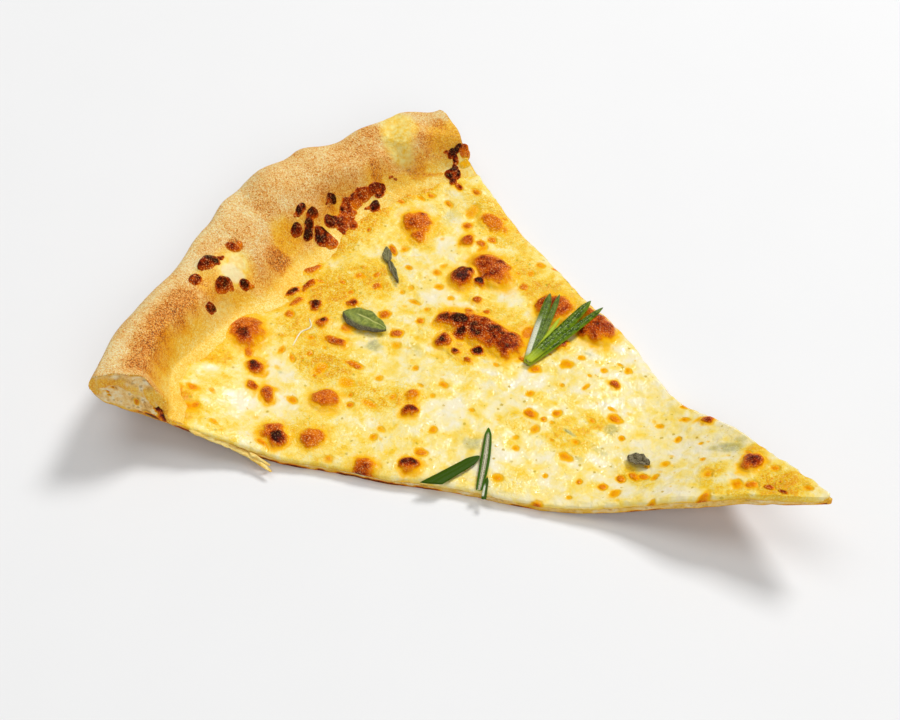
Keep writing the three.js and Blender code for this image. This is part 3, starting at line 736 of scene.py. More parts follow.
# Darker places on them and small brown ones, as in marks().
SCORCHED = (
    (141.2, 17, 4.6, 4, 0, 1.06), (138.4, 13.2, 2.8, 3, 0, 0.96), (136, 17.6, 3.6, 3.6, 0, 0.88),
    (129.6, 9.6, 2.4, 1.7, 0, 0.97), (159.6, -58.6, 2, 2.6, 0, 0.8), (196, -29.2, 5.6, 3.2, 25, 0.86),
    (190.6, -33.2, 3, 1.6, 40, 0.6), (197.7, -2.2, 1.5, 1.8, 0, 0.92), (152.5, 34.8, 3, 4, 0, 0.92),
    (147.3, 37, 1.5, 1.3, 0, 0.94), (120.6, -43.6, 1.4, 1.6, 0, 0.74), (105.4, 35.8, 2.6, 2, 30, 0.84),
    (124, 40, 1.6, 4, 0, 0.82), (29.6, 6.4, 1.4, 2, 0, 0.84), (157.6, -18.4, 1.4, 1, 0, 0.68),
    (131, -24, 1.7, 1.5, 0, 0.84), (13.9, -2.8, 2.2, 0.7, 10, 0.9), (18.2, -2.4, 2.2, 1.1, 0, 0.66),
    (16.3, 0.9, 1.1, 1.1, 0, 0.6), (204, -40.3, 2.6, 1, -50, 0.6), (200.1, -47, 1.4, 1.2, 0, 0.56),
    (192.2, -58.4, 2.2, 1.3, 0, 0.5), (186.2, -64.2, 1.5, 1.7, 0, 0.5), (186, -73.6, 4, 1.6, 0, 0.5),
    (171, -5.6, 3, 2.8, 0, 0.46), (158.9, -18.1, 3.4, 1.4, -8, 0.56), (173.9, -21.9, 1.1, 1.3, 0, 0.48),
    (177.7, -26.5, 2.2, 1, 45, 0.42), (166.6, -26, 2.4, 3.4, 0, 0.42), (166.5, -28.8, 0.9, 1, 0, 0.6),
    (156, -25.9, 3, 2.8, 0, 0.38), (151.7, -29.5, 1.1, 1.1, 0, 0.5), (149.3, -32.6, 1.2, 1.3, 0, 0.52),
    (144.5, -28.8, 3.5, 1.6, 0, 0.4), (190.8, -11.2, 2.1, 1.9, 0, 0.58), (192.4, 7.6, 2.1, 1, 0, 0.5),
    (193.6, 36.8, 1.2, 1.3, 0, 0.58), (192.8, 54.4, 2.4, 1.2, 10, 0.5), (187.2, 59.2, 2.6, 0.9, 10, 0.42),
    (184.8, 62.3, 1.8, 1.4, 0, 0.56), (177.1, 62.4, 1.7, 1.3, 0, 0.5), (171.8, 71.4, 1.9, 1.4, 0, 0.56),
    (157.4, 67.9, 1.6, 1.1, 0, 0.5), (166.2, 58.2, 1.9, 2.1, 0, 0.6), (155.4, 57.4, 1.9, 1.5, 0, 0.5),
    (157.1, 53.5, 2.1, 1.5, 0, 0.58), (133.2, 43.2, 2, 1.8, 0, 0.56), (137, 26.8, 2, 1.5, 0, 0.68),
    (142.1, 23.5, 1.5, 1.4, 0, 0.62), (181, 33.8, 2.6, 1.2, 40, 0.64), (182.7, 16.8, 2.4, 2.1, 0, 0.46),
    (178, 20.4, 1.3, 1.9, 0, 0.5), (174.9, 16.2, 2, 2.8, 30, 0.6), (185.6, 11, 1.7, 1.2, 0, 0.5),
    (180.4, 8.5, 1.2, 1.8, 0, 0.54), (170.9, 3.5, 2, 1.4, 0, 0.54), (164.5, 6.2, 2, 2.1, 0, 0.58),
    (152.7, 10.3, 1.5, 1.4, 0, 0.5), (155.6, 1.2, 2.3, 1.9, 0, 0.66), (120, 26.5, 2.6, 3.6, 0, 0.5),
    (115.3, 14.9, 1.5, 1, 0, 0.58), (109.3, 13.6, 1.9, 1.9, 0, 0.5), (92.9, 0.8, 1.7, 1.9, 0, 0.5),
    (76.9, 9.3, 2.7, 1.9, 10, 0.48), (99.5, -3.9, 2.3, 1.9, 0, 0.54), (95, -3.4, 1.1, 1.3, 0, 0.5),
    (119.2, -36.3, 1.9, 2, 0, 0.5), (78.4, -33.3, 1.9, 1.9, 0, 0.58), (72.1, -19.1, 1, 1.2, 0, 0.48),
    (62, -11.4, 1.9, 1.4, 50, 0.54), (59, -9.2, 2.6, 1.3, 25, 0.5), (55.6, -8.2, 2.4, 1.2, 0, 0.46),
    (64.9, -17.5, 1.5, 1.4, 0, 0.48), (45.5, -19.4, 2.8, 1.8, 10, 0.48), (33.4, -12.4, 1.6, 2.8, 0, 0.5),
    (42.5, 3.3, 1.1, 1.1, 0, 0.44), (27.4, -4.9, 2.3, 2.1, 0, 0.42), (23.2, -3.4, 2.2, 2.1, 0, 0.5),
    (129.6, 57.4, 1.6, 0.8, -20, 0.5), (68, 29.6, 1.6, 0.7, -20, 0.55), (161, -62, 3, 1.4, 0, 0.5),
)
# Amber spots, where small bubbles have just begun to colour: centre and half sizes.
AMBER = (
    (171.5, -17.2, 1.3, 1), (152.7, -3, 1.9, 1.6), (141.4, -7.8, 1.1, 1.2), (148.7, -18.2, 1.3, 1.5),
    (182.6, -18, 1.3, 1.7), (178.3, -15.9, 1.7, 1.5), (182.4, -25.9, 1.2, 1.9), (140, -22.4, 1.2, 1.9),
    (130, -8.9, 2, 1.2), (136.2, -13, 1.6, 0.8), (129.8, -14.7, 1.2, 1.1), (135.5, -35.3, 1.7, 1.3),
    (135.3, -39.1, 1.2, 1.6), (165.9, -41.5, 2, 1.3), (141.5, -54.4, 1.8, 1.5), (177.1, -66, 2, 1.2),
    (187.2, -66.4, 4, 2.6), (186.8, -55.4, 1.3, 1), (168.6, 64.7, 2.5, 3.4), (155.6, 51.8, 1.6, 2.5),
    (134.8, 55.9, 1.9, 1.5), (135, 50.3, 1.8, 1.8), (138, 48, 1.6, 1.2), (156.8, 27.6, 1.7, 1.5),
    (150.6, 25.3, 1.4, 1.2), (161.7, 36.8, 1.4, 1.6), (161.5, 32.6, 1.8, 1.3), (178, 36.5, 1.6, 1.9),
    (170.9, 29.4, 1.6, 1), (166.2, 18.5, 1.4, 1.4), (159.5, 17, 2.7, 1), (154.2, 16.2, 1.1, 1.2),
    (164.8, 22, 1.4, 1.2), (102.1, 21, 2.3, 2), (99.5, 26.2, 1.6, 1.4), (93, 20.8, 0.9, 0.7),
    (90.5, 25.4, 1.2, 1.2), (87.9, 30.9, 1.5, 0.8), (84.2, 30.2, 1.7, 1.4), (91.6, 15.2, 1, 2),
    (98.4, 12.5, 1, 1), (104.7, 3.6, 1.4, 1.8), (70.5, 3.6, 1.2, 1), (82.4, 4.9, 1.6, 1.2),
    (121.6, -26.8, 1.6, 1.8), (116.2, -12.7, 1.4, 1), (92.2, -3.1, 1, 0.9), (95, -8.7, 1.6, 1.8),
    (98.4, -14.4, 1.2, 1.3), (95.9, -18.1, 1.4, 1.2), (82.1, -22.7, 1.1, 1.1), (81.7, -5.6, 1.5, 1.3),
    (88.3, -9.2, 0.9, 0.6), (81.3, -12.7, 2.4, 1.6), (93.7, -31.7, 1.7, 1.5), (71.3, -26.2, 1, 1.1),
    (60.4, 24.3, 1.7, 1), (57.4, 19.2, 1.9, 1.3), (62.9, 14.3, 1.8, 1.4), (54.7, 10.6, 1, 1.2),
    (46.8, 10.4, 0.9, 0.8), (52.6, -0.9, 1.5, 1.7), (57.4, -3.6, 1.1, 1), (52.6, -7.5, 1.1, 1.6),
    (60.1, -18.6, 1.7, 2.4), (37.2, -3.4, 1.9, 2), (30.8, 9, 1.3, 0.9), (20.5, 5.6, 2, 1.6),
    (7.9, 1.4, 1.6, 1.2), (120.6, 7.7, 1.2, 0.8), (80, 12.6, 1.2, 0.9), (109, 22, 1, 0.8),
)
# Zones of the cheese that are deeper yellow than the rest, as in marks().
GOLDEN = (
    (186, 6, 13, 16, 0, 0.85), (168, -23, 13, 9, 0, 0.85), (147, -26, 10, 6, 0, 0.7),
    (138, -21, 8, 8, 0, 0.6), (157, 66, 20, 6, 20, 0.6), (124, 45, 9, 9, 0, 0.95),
    (112, 44, 14, 7, 20, 0.8), (139, 50, 12, 7, 20, 0.6), (193, 62, 8, 9, 0, 0.7),
    (196, 36, 6, 20, 0, 0.75), (84, -4, 9, 10, 0, 0.75), (81, 5, 8, 4.5, 0, 0.8), (91, -29, 8, 6, 0, 0.5),
    (58, -9, 9, 3.5, 20, 0.6), (36.5, -3, 4.4, 6.5, 0, 0.9), (16, 0.5, 11, 8, 0, 1.15),
    (29, 10, 5, 4, 0, 0.6), (27, -8, 8, 4, 0, 0.8), (189, -66, 9, 6, 0, 0.8), (196, -41, 6, 7, 0, 0.6),
    (203, -20, 4, 14, 0, 0.8), (178, -14, 9, 6, 0, 0.65), (188, -50, 7, 7, 0, 0.4), (96, 9, 6, 5, 0, 0.3),
    (153, 60, 10, 5, 0, 0.6), (178, 47, 8, 9, 0, 0.6), (128, 28, 18, 6, 0, 0.5),
    (133, 13, 18, 14, 0, 0.7), (103, -9, 6, 5, 0, 0.4), (155, -50, 14, 9, 0, 0.45),
    (186, -15, 8, 8, 0, 0.6), (178, 18, 10, 9, 0, 0.75),
)
# Zones that are whiter and creamier than the rest.
MILKY = (
    (178, -49, 11, 10, 0, 0.9), (178, -32, 6, 6, 0, 0.8), (166, -46, 7, 6, 0, 1.0),
    (147, -8, 9, 9, 0, 0.3), (168, 36, 10, 10, 0, 0.25), (152, 24, 10, 5, 0, 0.8),
    (135, 36, 6, 5, 0, 1.0), (166, 46, 6, 5, 0, 0.9), (196, 19, 4, 4, 0, 0.9), (122, -18, 8, 7, 0, 0.8),
    (98, -26, 6, 9, 40, 0.9), (142, 3, 8, 4, 0, 0.6), (52, 8, 10, 8, 0, 0.4), (44, -12, 9, 6, 0, 0.2),
    (123, 6, 6, 4, 0, 0.8), (110, 9, 9, 7, 0, 0.5), (193, -49, 5, 4, 0, 0.7), (85, 36, 8, 3, 0, 0.6),
    (110, -5, 7, 6, 0, 0.5), (160, -8, 7, 4, 0, 0.5),
)
# Bits of herb that have sunk in and show through, grey green.
SUNK_HERBS = (
    (158.6, -7.4, 2.4, 2.6, 0, 0.8), (146.6, -1, 4, 2, 0, 0.35), (107.9, -24.4, 3, 3, 0, 0.6),
    (75.4, 5.2, 2.2, 2, 0, 0.6), (85.3, -3.5, 2.3, 0.7, 5, 0.95), (74, -4.4, 4, 1.4, 0, 0.4),
    (78.4, -11.2, 2.4, 1.2, 0, 0.45), (37, 10.4, 4.4, 3, 0, 0.75), (42, 8.6, 3, 1.6, 0, 0.55),
    (36.4, 14, 2.4, 1.8, 0, 0.5), (173.9, 58.6, 3, 5, 0, 0.3), (201.4, -14.6, 1.6, 1.2, 0, 0.5),
    (203.6, -51, 6, 0.6, -40, 0.45), (176.8, -33.8, 1.2, 0.8, 0, 0.6), (98.7, 28.9, 1.8, 0.6, 0, 0.5),
    (180, -10.4, 3, 1.4, 0, 0.2),
)
# Smooth oily places beside the rim.
OILY = ((197, -52, 9, 20, 0, 1), (187, -67, 10, 8, 0, 1))
# Pale yellow specks all over, and their half sizes.
SPECKS = 260
SPECK_SIZES = (0.35, 1.1)
# How finely the layer is divided: along, across, every so many columns below, down its wall.
CHEESE_ROWS = 330
CHEESE_COLUMNS = 236
CHEESE_UNDER_STEP = 10
CHEESE_WALL = 6


def small_spots(count, seed, low, high):
    """Rows of (s, y, half size, half size) at random places of the cheese, evenly by area."""
    draw = np.random.default_rng(seed)
    rho = 6 + 190 * np.sqrt(draw.uniform(0, 1, count))
    s, y = plan_point(rho, draw.uniform(-0.95, 0.95, count))
    size = blend(low, high, draw.uniform(0, 1, count) ** 2.5)
    return [*zip(s, y, size * draw.uniform(0.9, 1.5, count), size)]


def browning(s, y):
    """How brown the cheese is at a place, from 0 to 1."""
    bubbles = [row[:6] for row in BUBBLES]
    amber = [(*row, 0, 0.44) for row in AMBER]
    faint = [(*row, 0, 0.16) for row in small_spots(SPECKS, 5, *SPECK_SIZES)]
    small = [row for row in bubbles if row[2] * row[3] <= 18]
    large = [row for row in bubbles if row[2] * row[3] > 18]
    total = np.maximum(1.2 * marks(s, y, small, 11, 0.34, 0.3, 1.32),
                       1.03 * marks(s, y, large, 11, 0.4, 0.55, 1.25))
    total = total * (1 + 0.18 * rough(s, y, 2.2, 19))
    total = np.maximum(total, 0.36 * marks(s, y, bubbles, 11, 0.5, 0.8, 1.8))
    total = np.maximum(total, 1.04 * marks(s, y, SCORCHED, 12, 0.3, 0.3, 1.5))
    total = np.maximum(total, marks(s, y, amber, 13, 0.3, 0.1, 1.5))
    return np.clip(np.maximum(total, marks(s, y, faint, 14, 0.3, 0.3)), 0, 1)


def cheese_relief(s, y, brown):
    """Bubbles and unevenness of the cheese's surface: each bubble is height (1 - d^2)^0.75, and
    browned places stand a little higher and are craggier."""
    calm = 1 - 0.6 * marks(s, y, MILKY, 16, 0.35, 0.3)
    total = 0.35 * swell(s, y) + 0.3 * rough(s, y, 4.5, 91)
    total = total + calm * 0.14 * rough(s, y, 2.6, 93)
    uneven = 0.12 * mottle(s, y, 2.4, 11)
    for at_s, at_y, half_a, half_b, turn, _, height in BUBBLES:
        a, b = ellipse(s, y, at_s, at_y, half_a * 1.12, half_b * 1.12, turn)
        dome = height * np.clip(1 - a * a - b * b + uneven, 0, 1) ** 0.75
        total = np.where(dome > 0, np.maximum(total, dome + 0.3 * total), total)
    crags = 0.16 * mottle(s, y, 1.0, 97) + 0.12 * mottle(s, y, 1.9, 98)
    return total + 0.34 * ease(brown, 0.3, 0.8) + crags * ease(brown, 0.4, 0.8)


def cheese_over_dough(s, y, rho, v, brown):
    """Height of the cheese's surface over the dough. It rounds off at the cuts and is thinner
    at the tip. Towards the rim it runs out as the 0.75 power of the distance to a wavering line,
    beyond which it lies under the dough's skin."""
    foot = rim_value(v, RIM_FOOT)
    edge = 1 - 0.45 * ease(np.abs(v), 0.955, 1) - 0.2 * ease(np.abs(v), 0.985, 1)
    reach = 3 * marks(s, y, [row[:6] for row in BUBBLES if row[0] > 190], 11, 0.34, 1.0, 1.5)
    left = np.minimum(foot - 2.4 + 2.2 * rough(s, y, 5, 105) + reach, foot - 0.5) - rho
    at_rim = np.clip(left / 9, 0, 1) ** 0.75
    at_tip = blend(0.55, 1, ease(rho, 0, 30))
    depth = (CHEESE_THICKNESS * at_tip + cheese_relief(s, y, brown)) * edge
    return blend(-0.35, 0.7 + np.maximum(depth, 0.15), at_rim)


def cheese_top(s, y):
    """Height of the cheese's surface over the table at a place."""
    rho, v = polar(s, y)
    return dish_lift(s, y) + base_height(rho) + cheese_over_dough(s, y, rho, v, browning(s, y))


def cheese_material():
    """Melted cheese: cream to deep yellow by zones and streaks, browned spots, flecks of dried
    herb, and an oily skin that is grainy where it is browned, with painted glints on it."""
    material, tree, shader, place = new_material("cheese_melted")
    fine = grain(tree, place, 0.45, 2, 0.6)
    pebble = grain(tree, place, 0.85, 2, 0.6)
    streak = grain(tree, place, 1.1, 3, 0.6, 1.0)
    blot = grain(tree, place, 4.2, 2, 0.45, 0.4)
    patch = grain(tree, place, 8, 3, 0.55)
    golden, browned, crisp = (value_of(tree, name) for name in ("golden", "browned", "crisp"))
    tone = plus(
        tree, golden, sway(tree, blot, 1.0),
        sway(tree, streak, spread(tree, golden, 0.2, 0.8, 0.1, 1.5)),
        sway(tree, fine, times(tree, crisp, spread(tree, golden, 0.3, 0.8, 0.2, 1.6))),
        sway(tree, patch, 0.5), clamp=True,
    )
    pale = ramp(tree, tone, (
        (0.0, (243, 233, 200)),
        (0.2, (245, 229, 166)),
        (0.4, (247, 219, 110)),
        (0.6, (245, 202, 44)),
        (0.8, (240, 178, 6)),
        (1.0, (232, 150, 0)),
    ))
    leaf = tones(tree, streak, 0.42, 0.6, (112, 114, 60), (194, 192, 130))
    sunk = times(tree, value_of(tree, "sunk"), spread(tree, streak, 0.3, 0.6, 0.55, 1.0))
    distance, chances = cells(tree, place, 2.6)
    fleck = plus(tree, distance, times(tree, chances[1], 0.16), times(tree, streak, 0.5))
    fleck = times(tree, spread(tree, chances[0], 0.56, 0.58),
                  spread(tree, fleck, 0.42, 0.52, 0.8, 0.0))
    pale = coats(tree, mix(tree, sunk, pale, leaf), [(fleck, (192, 160, 0))])
    spot = grain(tree, place, 2.6, 2, 0.6)
    level = times(tree, browned, spread(tree, spot, 0.3, 0.7, 0.88, 1.14))
    shown = use(tree, oven_browning, {
        "Pale": pale, "Browning": level, "Grain": fine, "Unevenness": 0.6,
    })
    # Painted highlights: how strongly the glint dots are painted into the colour, most on crisp golden
    # and on browned cheese.
    fat = plus(tree, times(tree, crisp, spread(tree, golden, 0.3, 0.8, 0.14, 0.6)),
               spread(tree, browned, 0.45, 0.7, 0, 0.4), clamp=True)
    shown = use(tree, painted_glints, {
        "Color": shown,
        "Bright": tones(tree, browned, 0.35, 0.65, (255, 240, 140), (246, 184, 110)),
        "Place": place,
        "Amount": times(tree, fat, spread(tree, level, 0.7, 0.95, 1, 0.25)),
    })
    ripple = grain(tree, place, 2.4, 2, 0.5, 0.6)
    height = plus(
        tree, times(tree, ripple, spread(tree, browned, 0.08, 0.25, 0.56, 0.1)),
        times(tree, streak, spread(tree, golden, 0.2, 0.8, 0.1, 0.9),
              spread(tree, browned, 0.1, 0.3, 1.0, 0.3)),
        times(tree, pebble, spread(tree, browned, 0.4, 0.6, 0.0, 0.8)),
    )
    set_inputs(tree, shader, {
        "Base Color": shown,
        "Roughness": spread(tree, grain(tree, place, 3.5, 2), 0.35, 0.65, 0.08, 0.22),
        "Specular IOR Level": times(tree, spread(tree, browned, 0.1, 0.36, 0.42, 0.07),
                                    spread(tree, golden, 0.35, 0.8, 1.0, 0.4)),
        "Subsurface Weight": 0.06,
        "Subsurface Radius": (1.0, 0.55, 0.2),
        "Subsurface Scale": 0.0014,
        "Normal": bump(tree, 0.9, 0.8, height),
    })
    return material


melted = cheese_material()


def cheese_looks(s, y, rho, end):
    """What the material reads at a place, from 0 to about 1: how golden the cheese is, how much
    sunk herb shows, and how crisp and grainy the oven has made it, which also sets how many
    painted glints show."""
    golden = blend(0.26, 0.38, ease(rho, 90, 150)) + 0.5 * marks(s, y, GOLDEN, 15, 0.35, 0.3)
    golden = golden - 0.3 * marks(s, y, MILKY, 16, 0.35, 0.3)
    golden = golden + 0.3 * ease(rho, end - 7, end)
    crisp = 0.3 + 0.7 * np.maximum(ease(rho, 110, 150), 0.4 - 0.4 * ease(rho, 22, 34))
    crisp = crisp * (1 - 0.75 * marks(s, y, OILY, 15, 0.3, 0.4))
    return {"golden": golden, "sunk": marks(s, y, SUNK_HERBS, 17, 0.4, 0.3), "crisp": crisp}


def cheese_piece():
    """The layer of cheese: its top on a fine grid, a wall round it that bulges by the sine of the
    share of its height, and an underside that follows the dough with fewer columns. The wall is
    browner and more golden towards its foot."""
    v = np.linspace(-1, 1, CHEESE_COLUMNS)[None, :]
    end = rim_value(v, RIM_FOOT) - 0.4
    rho = 1 + (end - 1) * np.linspace(0, 1, CHEESE_ROWS)[:, None]
    v = np.broadcast_to(v, rho.shape)
    s, y = plan_point(rho, v)
    brown = browning(s, y)
    dough_top = dish_lift(s, y) + base_height(rho)
    under, top = dough_top - CHEESE_SINK, dough_top + cheese_over_dough(s, y, rho, v, brown)
    ooze = 0.25 + 0.4 * np.clip(rough(rho, 3 * v, 4, 101), -0.6, 1)
    shift = np.sign(v) * ooze * ease(np.abs(v), 0.97, 1)
    y = y + shift
    rows, cols = rho.shape
    points = [np.stack([s, y, top], -1).reshape(-1, 3)]
    faces = [grid(rows, cols)]
    number = np.arange(rows * cols).reshape(rows, cols)
    loop = np.concatenate([number[0], number[1:, -1], number[-1, -2::-1], number[-2:0:-1, 0]])
    upper = points[0][loop]
    lower = upper.copy()
    lower[:, 2] = under.ravel()[loop]
    lower[:, 1] -= (shift * 0.8).ravel()[loop]
    layer = np.linspace(0, 1, CHEESE_WALL + 1)[1:, None]
    wall = blend(upper[None], lower[None], layer[..., None])
    loop_rho, loop_v = rho.ravel()[loop], v.ravel()[loop]
    bulge = 0.4 + 0.3 * mottle(loop_rho, layer * 3, 1.6, 107)
    bulge = bulge * np.sin(math.pi * layer) * np.sign(loop_v)
    wall[..., 1] += bulge * (np.abs(loop_v) > 0.999)
    start = rows * cols
    ring = np.vstack([loop, start + np.arange(CHEESE_WALL * len(loop)).reshape(CHEESE_WALL, -1)])
    after = np.roll(ring, -1, 1)
    faces.append(np.stack([ring[:-1], after[:-1], after[1:], ring[1:]], -1).reshape(-1, 4))
    points.append(wall.reshape(-1, 3))
    start += CHEESE_WALL * len(loop)
    bottom = np.full((rows, cols), -1)
    bottom.ravel()[loop] = ring[-1]
    some = np.unique(np.append(np.arange(0, cols, CHEESE_UNDER_STEP), cols - 1))
    inner = bottom[1:-1][:, some[1:-1]]
    bottom[1:-1, some[1:-1]] = start + np.arange(inner.size).reshape(inner.shape)
    points.append(np.stack([s, y, under], -1)[1:-1][:, some[1:-1]].reshape(-1, 3))
    few = bottom[1:-1][:, some]
    squares = [few[:-1, :-1], few[1:, :-1], few[1:, 1:], few[:-1, 1:]]
    faces.append(np.stack(squares, -1).reshape(-1, 4))
    for a, b in zip(some[:-1], some[1:]):
        for edge, near in ((bottom[0], bottom[1]), (bottom[-1], bottom[-2])):
            faces.append(np.array([[near[a], *edge[a:b + 1], near[b]]]))
    more = {"golden": 0.1, "browned": 0.2 + 0.12 * (1 - ease(loop_rho, 40, 80))}
    looks = {"browned": brown, **cheese_looks(s, y, rho, end)}
    values = {
        name: np.concatenate([
            value.ravel(), (value.ravel()[loop] + more.get(name, 0) * layer).ravel(),
            value[1:-1][:, some[1:-1]].ravel(),
        ])
        for name, value in looks.items()
    }
    build("cheese_layer", np.concatenate(points), faces, values, melted, "melted_cheese",
          ["cheese"])


cheese_piece()

# ---- Sliver -----------------------------------------------------------------------------
# A strip of dough with cheese on it that the cutter tore off along the right cut. It is still
# joined at its outer end, and it is split and crumbly at its free end.

SLIVER_PATH = np.array([(181, -73.5), (172, -69.8), (163, -67.4), (153.4, -67.6)])
SLIVER_SPLIT = np.array([(163, -66.9), (158, -66.4), (155.6, -65.6)])
SLIVER_HALF_WIDTHS = (1.35, 0.6)
SLIVER_ROWS = (120, 50)
SLIVER_AROUND = 14
SLIVER_HALF_THICKNESS = 0.63


def along_path(path, count):
    """Evenly spaced points on a Catmull-Rom curve through a path, and the unit side vectors."""
    ends = np.vstack([2 * path[0] - path[1], path, 2 * path[-1] - path[-2]])
    t = np.linspace(0, len(path) - 1.0001, count)
    i = t.astype(int)
    u = (t - i)[:, None]
    a, b, c, d = ends[i], ends[i + 1], ends[i + 2], ends[i + 3]
    points = 0.5 * (2 * b + (c - a) * u + (2 * a - 5 * b + 4 * c - d) * u**2
                    + (3 * b - a - 3 * c + d) * u**3)
    way = np.gradient(points, axis=0)
    way = way / np.hypot(way[:, 0], way[:, 1])[:, None]
    return points, np.stack([-way[:, 1], way[:, 0]], 1)


def turns(count):
    """Even turns round a ring, from 0 to 2 pi."""
    return np.linspace(0, 2 * math.pi, count, endpoint=False)[None, :]


def tube(centre, side, wide, thick, around):
    """Closed rows of points round a path of (s, y, z) points: ovals across it, as wide and
    thick as given at each point."""
    across = wide[:, None] * np.cos(turns(around))
    return np.stack([
        centre[:, :1] + side[:, :1] * across,
        centre[:, 1:2] + side[:, 1:2] * across,
        centre[:, 2:3] + thick[:, None] * np.sin(turns(around)),
    ], -1)


def ring_faces(rows, around, start=0):
    """Quads between the closed rows of a tube."""
    at = start + np.arange(rows * around).reshape(rows, around)
    after = np.roll(at, -1, 1)
    return np.stack([at[:-1], after[:-1], after[1:], at[1:]], -1).reshape(-1, 4)


def sliver_piece():
    """Two tapering strips with an uneven oval section, side by side on the cut. Their half width
    falls with t^1.5 and closes with a root at both ends."""
    strips = []
    for path, half, count in zip((SLIVER_PATH, SLIVER_SPLIT), SLIVER_HALF_WIDTHS, SLIVER_ROWS):
        plan, side = along_path(path, count)
        t = np.linspace(0, 1, count)
        s, y = plan.T
        z = dish_lift(s, y) + blend(1.9, 0.9, ease(t, 0.2, 1))
        wide = half * blend(1, 0.35, t**1.5) * np.clip(np.minimum(t * 12, (1 - t) * 14), 0, 1)**0.5
        thick = SLIVER_HALF_THICKNESS * wide / half
        points = tube(np.column_stack([s, y, z]), side, wide, thick, SLIVER_AROUND)
        open_part = (wide > 0.1)[:, None]
        around = 2 * turns(SLIVER_AROUND)
        points[..., 2] += 0.16 * mottle(s[:, None], around, 1.1, 113) * open_part
        points[..., 1] += 0.22 * mottle(s[:, None], around, 1.4, 117) * open_part
        s, y, z = np.moveaxis(points, -1, 0)
        lower = ease(dish_lift(s, y) - z, -1.2, -0.4)
        char = 0.04 + 0.5 * lower + 0.1 * rough(s, y + z, 2.6, 121)
        strips.append((points, {
            "crumb": 0.25 + 0.75 * lower, "char": np.clip(char, 0, 1), "toast": 0.3,
            "meal": 0.0, "cheesy": 0.7, "below": 0.0,
        }))
    build("torn_sliver", *join(strips, ring_faces), dough, "baked_dough", ["crust"])


sliver_piece()

# ---- Baked drops --------------------------------------------------------------------------
# Cheese that spat onto the rim and baked into hard dark beads and one crusty strip, and a
# thin string of cheese that lies on the layer.

# Beads and crusts: centre, half sizes, turn of the first, height, browning.
DROPS = (
    (217, -19.4, 4.9, 2.3, 97, 1.5, 0.95), (217.2, -13.8, 1.6, 0.8, 97, 0.6, 0.8),
    (215.9, -27.6, 2.5, 2, 100, 1.1, 0.86), (209.8, -21, 4.3, 2.7, 127, 1.8, 0.86),
    (207.9, -13, 2.7, 1.9, 120, 1.2, 0.86), (206.6, -10.9, 1.5, 1.0, 120, 0.4, 0.56),
    (207.8, -30.1, 2.8, 1.7, 150, 1.0, 0.92), (217.5, -6.8, 2.8, 1.7, 151, 0.8, 0.76),
    (216.4, -4.4, 1.3, 1.1, 30, 0.5, 0.72), (208.9, 36.1, 1.8, 1.6, 117, 1.6, 1.0),
    (209.2, 34, 0.9, 0.7, 90, 0.6, 0.84), (211.9, 22.9, 2.5, 1.5, 71, 1.1, 0.9),
    (212.3, 20.2, 1.0, 0.7, 60, 0.4, 0.7), (209, 25.4, 3.1, 2.2, 90, 1.5, 0.9),
    (208, 22.4, 2.6, 1.9, 60, 1.4, 0.92), (207.1, 19.9, 2.4, 1.9, 38, 1.4, 0.96),
    (209.9, 17.5, 2.4, 2.1, 52, 1.5, 0.97), (204, 24, 3.6, 3.1, 21, 1.8, 0.93),
    (201.4, 25, 3.2, 2.6, 21, 1.4, 0.8), (205.8, 31.1, 3, 2.1, 135, 1.5, 0.94),
    (204.2, 33.4, 3, 1.8, 160, 1.1, 0.88), (202.4, 33.6, 3, 2.4, 50, 0.8, 0.8),
    (201.4, 31.6, 2.4, 1.2, 10, 0.6, 0.74), (203.4, 37.4, 3.6, 3.0, 90, 0.8, 0.74),
    (200.6, 36, 3.2, 1.9, 30, 0.8, 0.78), (205.2, 39, 2.6, 2.2, 100, 0.9, 0.86),
    (205.2, 41.6, 3, 1.6, 110, 0.8, 0.86), (203.8, 42.4, 3, 2.2, 110, 0.6, 0.7),
    (204.4, 44.8, 3, 1.7, 110, 0.8, 0.84), (203.2, 46.4, 3, 2.2, 120, 0.6, 0.74),
    (202.8, 48.4, 3, 1.8, 134, 0.9, 0.84), (201.6, 50.8, 2.6, 2.2, 125, 1.2, 0.86),
    (200.2, 52.8, 2, 1.9, 113, 1.2, 0.84), (199.6, 51.4, 2, 1.4, 95, 0.9, 0.86),
    (198.2, 47, 2.5, 2, 50, 1.5, 0.86), (199.6, 45, 1.4, 0.8, 120, 0.6, 0.72),
    (199, 58.2, 0.6, 1.1, 0, 0.5, 0.78), (197.9, 59.1, 0.6, 0.9, 20, 0.4, 0.8),
    (188.3, 76.8, 1.5, 0.8, 129, 0.8, 0.82), (186.6, 77.8, 1.9, 1.6, 30, 1.2, 0.92),
    (185.4, 80, 2.1, 1.3, 87, 1.1, 0.94), (184.1, 82.3, 1.4, 1.2, 137, 0.8, 0.7),
    (183.3, 81.2, 2, 1.8, 35, 0.4, 0.62), (184.9, 77.6, 1.7, 1.2, 41, 1.0, 0.9),
    (183.8, 75.6, 1.7, 1.2, 41, 1.0, 0.93), (183.2, 73.6, 3.2, 2.4, 147, 1.5, 0.95),
    (181.6, 71.6, 1.9, 1.4, 50, 0.9, 0.84), (182, 78.8, 2, 1.7, 132, 0.4, 0.28),
)
# The sheet's grid, how far from a bead's centre the food's slope is taken, and how deep the
# sheet's underside lies in the food.
DROP_STEP = 0.24
SLOPE_STEP = 1.2
DROP_SINK = 0.8
STRING_PATH = np.array([(184.2, -9), (181.4, -12), (182.6, -16), (180.8, -22.4)])
STRING_HALF_WIDTH = 0.26
STRING_ROWS = 90
STRING_AROUND = 10


def food_top(s, y):
    """Height of the food's surface at a place: cheese up to its end, dough beyond it."""
    rho, v = polar(s, y)
    return np.where(rho < rim_value(v, RIM_FOOT) - 1.2, cheese_top(s, y), crust_top(s, y))


